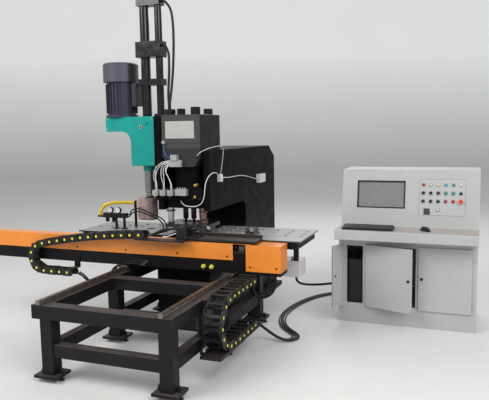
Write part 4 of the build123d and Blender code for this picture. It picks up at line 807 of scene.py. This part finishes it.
def build_head_plate():
    """The bare plate on the head's front, with four screws."""
    plate_face = head_face - plate_thickness
    shape = bmesh.new()
    add_block(shape, (plate_left, plate_face, plate_bottom), (plate_right, head_face, plate_top), plate_edge)
    piece = place_piece("head_plate", shape, plate_metal, "base")
    screws = bmesh.new()
    for x in (plate_left + plate_screw_inset, plate_right - plate_screw_inset):
        for z in (plate_bottom + plate_screw_inset, plate_top - plate_screw_inset):
            add_screw(screws, (x, plate_face, z), to_front, *plate_screw)
    place_piece("head_plate_screws", screws, silver, "base")


def build_head_bolts():
    """Bolts of the guide's front plate and screws at the head's corners."""
    shape = bmesh.new()
    for x in guide_bolt_places:
        add_hex_bolt(shape, (x, head_face, guide_bolt_height), to_front, *guide_bolt)
    for z in head_screw_heights:
        for x in (-head_screw_side, head_screw_side):
            add_screw(shape, (x, head_face, z), to_front, *head_screw)
    place_piece("head_bolts", shape, black_paint, "base")


def build_brass_fittings():
    """Two brass fittings at the head's right front."""
    shape = bmesh.new()
    for x, z in brass_places:
        add_plug(shape, (x, brass_foot_face, z), to_front, brass_foot, brass_nose, foot_sides=6)
    place_piece("brass_fittings", shape, brass, "base")


def build_signal_plug():
    """The black plug at the head's right front, where the signal lead starts."""
    shape = bmesh.new()
    add_disc(shape, signal_foot_place, signal_plug_axis, 0.012, 0.012, round_by=0.001, sides=6)
    add_disc(shape, signal_nose_place, signal_plug_axis, 0.008, 0.014, round_by=0.002, sides=16)
    place_piece("signal_plug", shape, black_plastic, "base")


def build_casting_sight():
    """The round oil sight and the cover screws on the front of the drill casting."""
    rim = bmesh.new()
    add_ring(rim, sight_place, to_front, *sight_rim, 0.006)
    for x, z in casting_screws:
        add_screw(rim, (x, casting_face, z), to_front, *casting_screw)
    place_piece("casting_sight_rim", rim, silver, "base")
    glass = bmesh.new()
    add_disc(glass, sight_place, to_front, sight_glass_radius, 0.003, round_by=0.001)
    place_piece("casting_sight_glass", glass, black_plastic, "base")


def build_junction_plugs():
    """Red and white plugs along the front of the junction box's lid."""
    for name, places, material in (("white_box_plugs", white_plug_places, white_cap),
                                   ("red_box_plugs", red_plug_places, red_cap)):
        shape = bmesh.new()
        for x in places:
            add_plug(shape, (x, box_plug_y, junction_top), to_top, box_plug_foot, box_plug_nose,
                     nose_sides=14)
        place_piece(name, shape, material, "base")


build_head_plate()
build_head_bolts()
build_brass_fittings()
build_signal_plug()
build_casting_sight()
build_junction_plugs()

# Trim of the beam, the rails and the gauges
cover_screw = (0.008, 0.004)
cover_screw_places = (-1.95, -1.45, -0.95, -0.45, 0.05, 0.50)
cover_screw_height = 0.735
end_box_screw_places = (0.70, 0.92)
end_box_screw_height = 0.66
beam_plug_foot = (0.019, 0.018, 0.002)
beam_plug_nose = (0.012, 0.016, 0.002)
beam_plug_places = (0.290, 0.362)
beam_plug_height = 0.640
rail_bolt = (0.007, 0.0015)
rail_bolt_start = -1.49
rail_bolt_pitch = 0.08
rail_bolt_count = 16
gauge_places = (-0.822, -0.737)
gauge_front = -0.097
gauge_height = 1.026
dial_radius = 0.0245
dial_thickness = 0.0012
needle_hub = (0.003, 0.001)
needle_middle = (0.006, -0.0016, 0.008)
needle_lean = radians(38)
needle_size = (0.0016, 0.0006, 0.022)


def build_beam_trim():
    """Screws of the orange sheet covers and two yellow plugs on the beam's front."""
    screws = bmesh.new()
    for x in cover_screw_places:
        add_screw(screws, (x, cover_face, cover_screw_height), to_front, *cover_screw)
    for x in end_box_screw_places:
        add_screw(screws, (x, end_box_face, end_box_screw_height), to_front, *cover_screw)
    place_piece("cover_screws", screws, black_paint, "beam")
    plugs = bmesh.new()
    for x in beam_plug_places:
        add_plug(plugs, (x, beam_face, beam_plug_height), to_front, beam_plug_foot, beam_plug_nose)
    place_piece("beam_plugs", plugs, plug_yellow, "beam")


def build_rail_bolts():
    """Cap screws along the rails of the cross travel."""
    shape = bmesh.new()
    for x in (-rail_x, rail_x):
        for number in range(rail_bolt_count):
            y = rail_bolt_start + rail_bolt_pitch * number
            add_screw(shape, (x, y, rail_top), to_top, *rail_bolt)
    place_piece("rail_bolts", shape, black_paint, "base")


def build_gauges():
    """White faces with a needle for the two pressure gauges."""
    lean = Matrix.Rotation(needle_lean, 4, "Y")
    faces = bmesh.new()
    needles = bmesh.new()
    for x in gauge_places:
        middle = Vector((x, gauge_front, gauge_height))
        hub = middle + dial_thickness * Vector(to_front)
        add_disc(faces, middle, to_front, dial_radius, dial_thickness, sides=28)
        add_disc(needles, hub, to_front, *needle_hub, sides=12)
        place = Matrix.Translation(middle + Vector(needle_middle))
        bmesh.ops.create_cube(needles, size=1, matrix=place @ lean @ Matrix.Diagonal((*needle_size, 1)))
    place_piece("gauge_faces", faces, gauge_face, "base")
    place_piece("gauge_needles", needles, black_plastic, "base")


build_beam_trim()
build_rail_bolts()
build_gauges()

# Console. Places on the sloping face are measured across from its left side and up from its foot.
keyboard_left = 1.268
keyboard_front = 0.330
keyboard_rise = 0.012
keyboard_slope = 14 / 150
key_rows = 6
keys_in_row = 20
key_field_left = keyboard_left + 0.012
key_field_front = keyboard_front + 0.008
key_field_width = 0.416
key_field_depth = 0.134
key_clearance = 0.0006
key_gap = 0.0016
key_height = 0.007
least_key_area = 0.0002
screen_sides = (0.129, 0.556, 0.163, 0.412)
screen_edge = 0.012
screen_depths = (0.006, 0.0165)
panel_sides = (0.677, 1.060, 0.112, 0.430)
panel_line_width = 0.002
panel_line_depths = (-0.0016, -0.001)
button_ring = (0.0124, 0.0150)
ring_level = 0.007
white_button_offset = 0.125
lamp_ring = (0.0118, 0.0148)
lamp_ring_level = 0.005
selector_level = 0.0193
pointer_rise = 0.008
pointer = (0.0022, 0.0008)
stop_level = 0.0273
stop_centre = (0.011, 0.0012)
lock_height = 0.440
lock_barrel = (0.0125, 0.0068)
lock_core = (0.006, 0.002)
lock_cam = (0.009, 0.010)
lock_cam_depth = 0.012
locks = {
    "right_door": ((1.944, 0.4445, lock_height), to_front),
    "middle_door": ((1.8439, 0.3252, lock_height), (-0.2924, -0.9563, 0)),
    "left_door": ((1.2010, 0.3353, lock_height), (-0.8660, 0.5, 0)),
}
face_out = Vector((0, -cos(face_angle), sin(face_angle)))


def build_keys():
    """Rows of key caps on the keyboard."""
    shape = bmesh.new()
    bmesh.ops.create_grid(shape, x_segments=keys_in_row, y_segments=key_rows, size=0.5)
    for vertex in shape.verts:
        depth = key_field_front + (vertex.co.y + 0.5) * key_field_depth
        vertex.co.x = key_field_left + (vertex.co.x + 0.5) * key_field_width
        vertex.co.y = depth
        slope_rise = (depth - keyboard_front) * keyboard_slope
        vertex.co.z = desk_height + keyboard_rise + slope_rise + key_clearance
    bmesh.ops.inset_individual(shape, faces=shape.faces[:], thickness=key_gap)
    tops = [face for face in shape.faces if face.calc_area() > least_key_area]
    raised = bmesh.ops.extrude_discrete_faces(shape, faces=tops)
    for face in raised["faces"]:
        bmesh.ops.translate(shape, verts=face.verts, vec=(0, 0, key_height))
    piece = place_piece("key_caps", shape, key_plastic, "base")


def add_face_frame(shape, sides, width, outer, inner, round_by=0.0):
    """Four bars round a field of the console's sloping face, between two depths."""
    left, right, low, high = sides
    bars = ((left, right, low, low + width), (left, right, high - width, high),
            (left, left + width, low, high), (right - width, right, low, high))
    for start, end, foot, top in bars:
        add_block(shape, (console_left + start, outer, foot), (console_left + end, inner, top), round_by)
    bmesh.ops.rotate(shape, verts=shape.verts, matrix=Matrix.Rotation(-face_angle, 3, "X"))
    bmesh.ops.translate(shape, verts=shape.verts, vec=(0, slope_foot, desk_height))


def build_screen_frame():
    """A dark inner edge round the screen."""
    shape = bmesh.new()
    add_face_frame(shape, screen_sides, screen_edge, *screen_depths, 0.0015)
    place_piece("screen_frame", shape, black_plastic, "base")


def build_panel_line():
    """The thin border line round the button panel."""
    shape = bmesh.new()
    add_face_frame(shape, panel_sides, panel_line_width, *panel_line_depths)
    place_piece("panel_line", shape, line_grey, "base")


def on_face(across, up, out):
    """A place on the console's sloping face."""
    foot = Vector((console_left + across, slope_foot, desk_height))
    return foot + up * Vector((0, sin(face_angle), cos(face_angle))) + out * face_out


def control_place(column, row, out):
    """A place above a column and a row of the panel's controls."""
    return on_face(first_column + column * column_step, first_row - row * row_step, out)


def build_control_rings():
    """Dark rings round the push buttons and bright ones round the lamps."""
    dark = bmesh.new()
    for column, row in ((3, 1), (4, 1), (3, 2), (4, 2)):
        add_ring(dark, control_place(column, row, ring_level), face_out, *button_ring, 0.0008)
    white_button = on_face(first_column + white_button_offset, first_row - 3 * row_step, ring_level)
    add_ring(dark, white_button, face_out, *button_ring, 0.0012)
    place_piece("push_button_rings", dark, black_plastic, "base")
    bright = bmesh.new()
    for column in range(lamp_count):
        add_ring(bright, control_place(column, 0, lamp_ring_level), face_out, *lamp_ring, 0.0016)
    place_piece("lamp_rings", bright, silver, "base")


def build_control_marks():
    """White pointers on the selectors and the red centre of the emergency stop."""
    for number in range(selector_count):
        row, column = divmod(number, selectors_in_row)
        place = control_place(column, 1 + row, selector_level)
        shape = bmesh.new()
        add_disc(shape, place + pointer_rise * Vector(to_top), face_out, *pointer, sides=10)
        mark = place_piece(f"selector_{number + 1}_mark", shape, white_cap, f"selector_{number + 1}")
    shape = bmesh.new()
    add_disc(shape, control_place(5, 2, stop_level), face_out, *stop_centre, round_by=0.0004, sides=24)
    place_piece("emergency_stop_centre", shape, red_cap, "emergency_stop")


def build_door_locks():
    """Black lock barrels on the three doors and the cam inside the open left door."""
    for body, (place, outward) in locks.items():
        shape = bmesh.new()
        back = Vector(place)
        out = Vector(outward)
        add_disc(shape, back, out, *lock_barrel, round_by=0.001, sides=24)
        add_disc(shape, back + lock_barrel[1] * out, out, *lock_core, round_by=0.0005, sides=12)
        if body == "left_door":
            add_disc(shape, back - lock_cam_depth * out, -out, *lock_cam, round_by=0.001, sides=6)
        place_piece(body + "_lock", shape, black_plastic, body)


build_keys()
build_screen_frame()
build_panel_line()
build_control_rings()
build_control_marks()
build_door_locks()
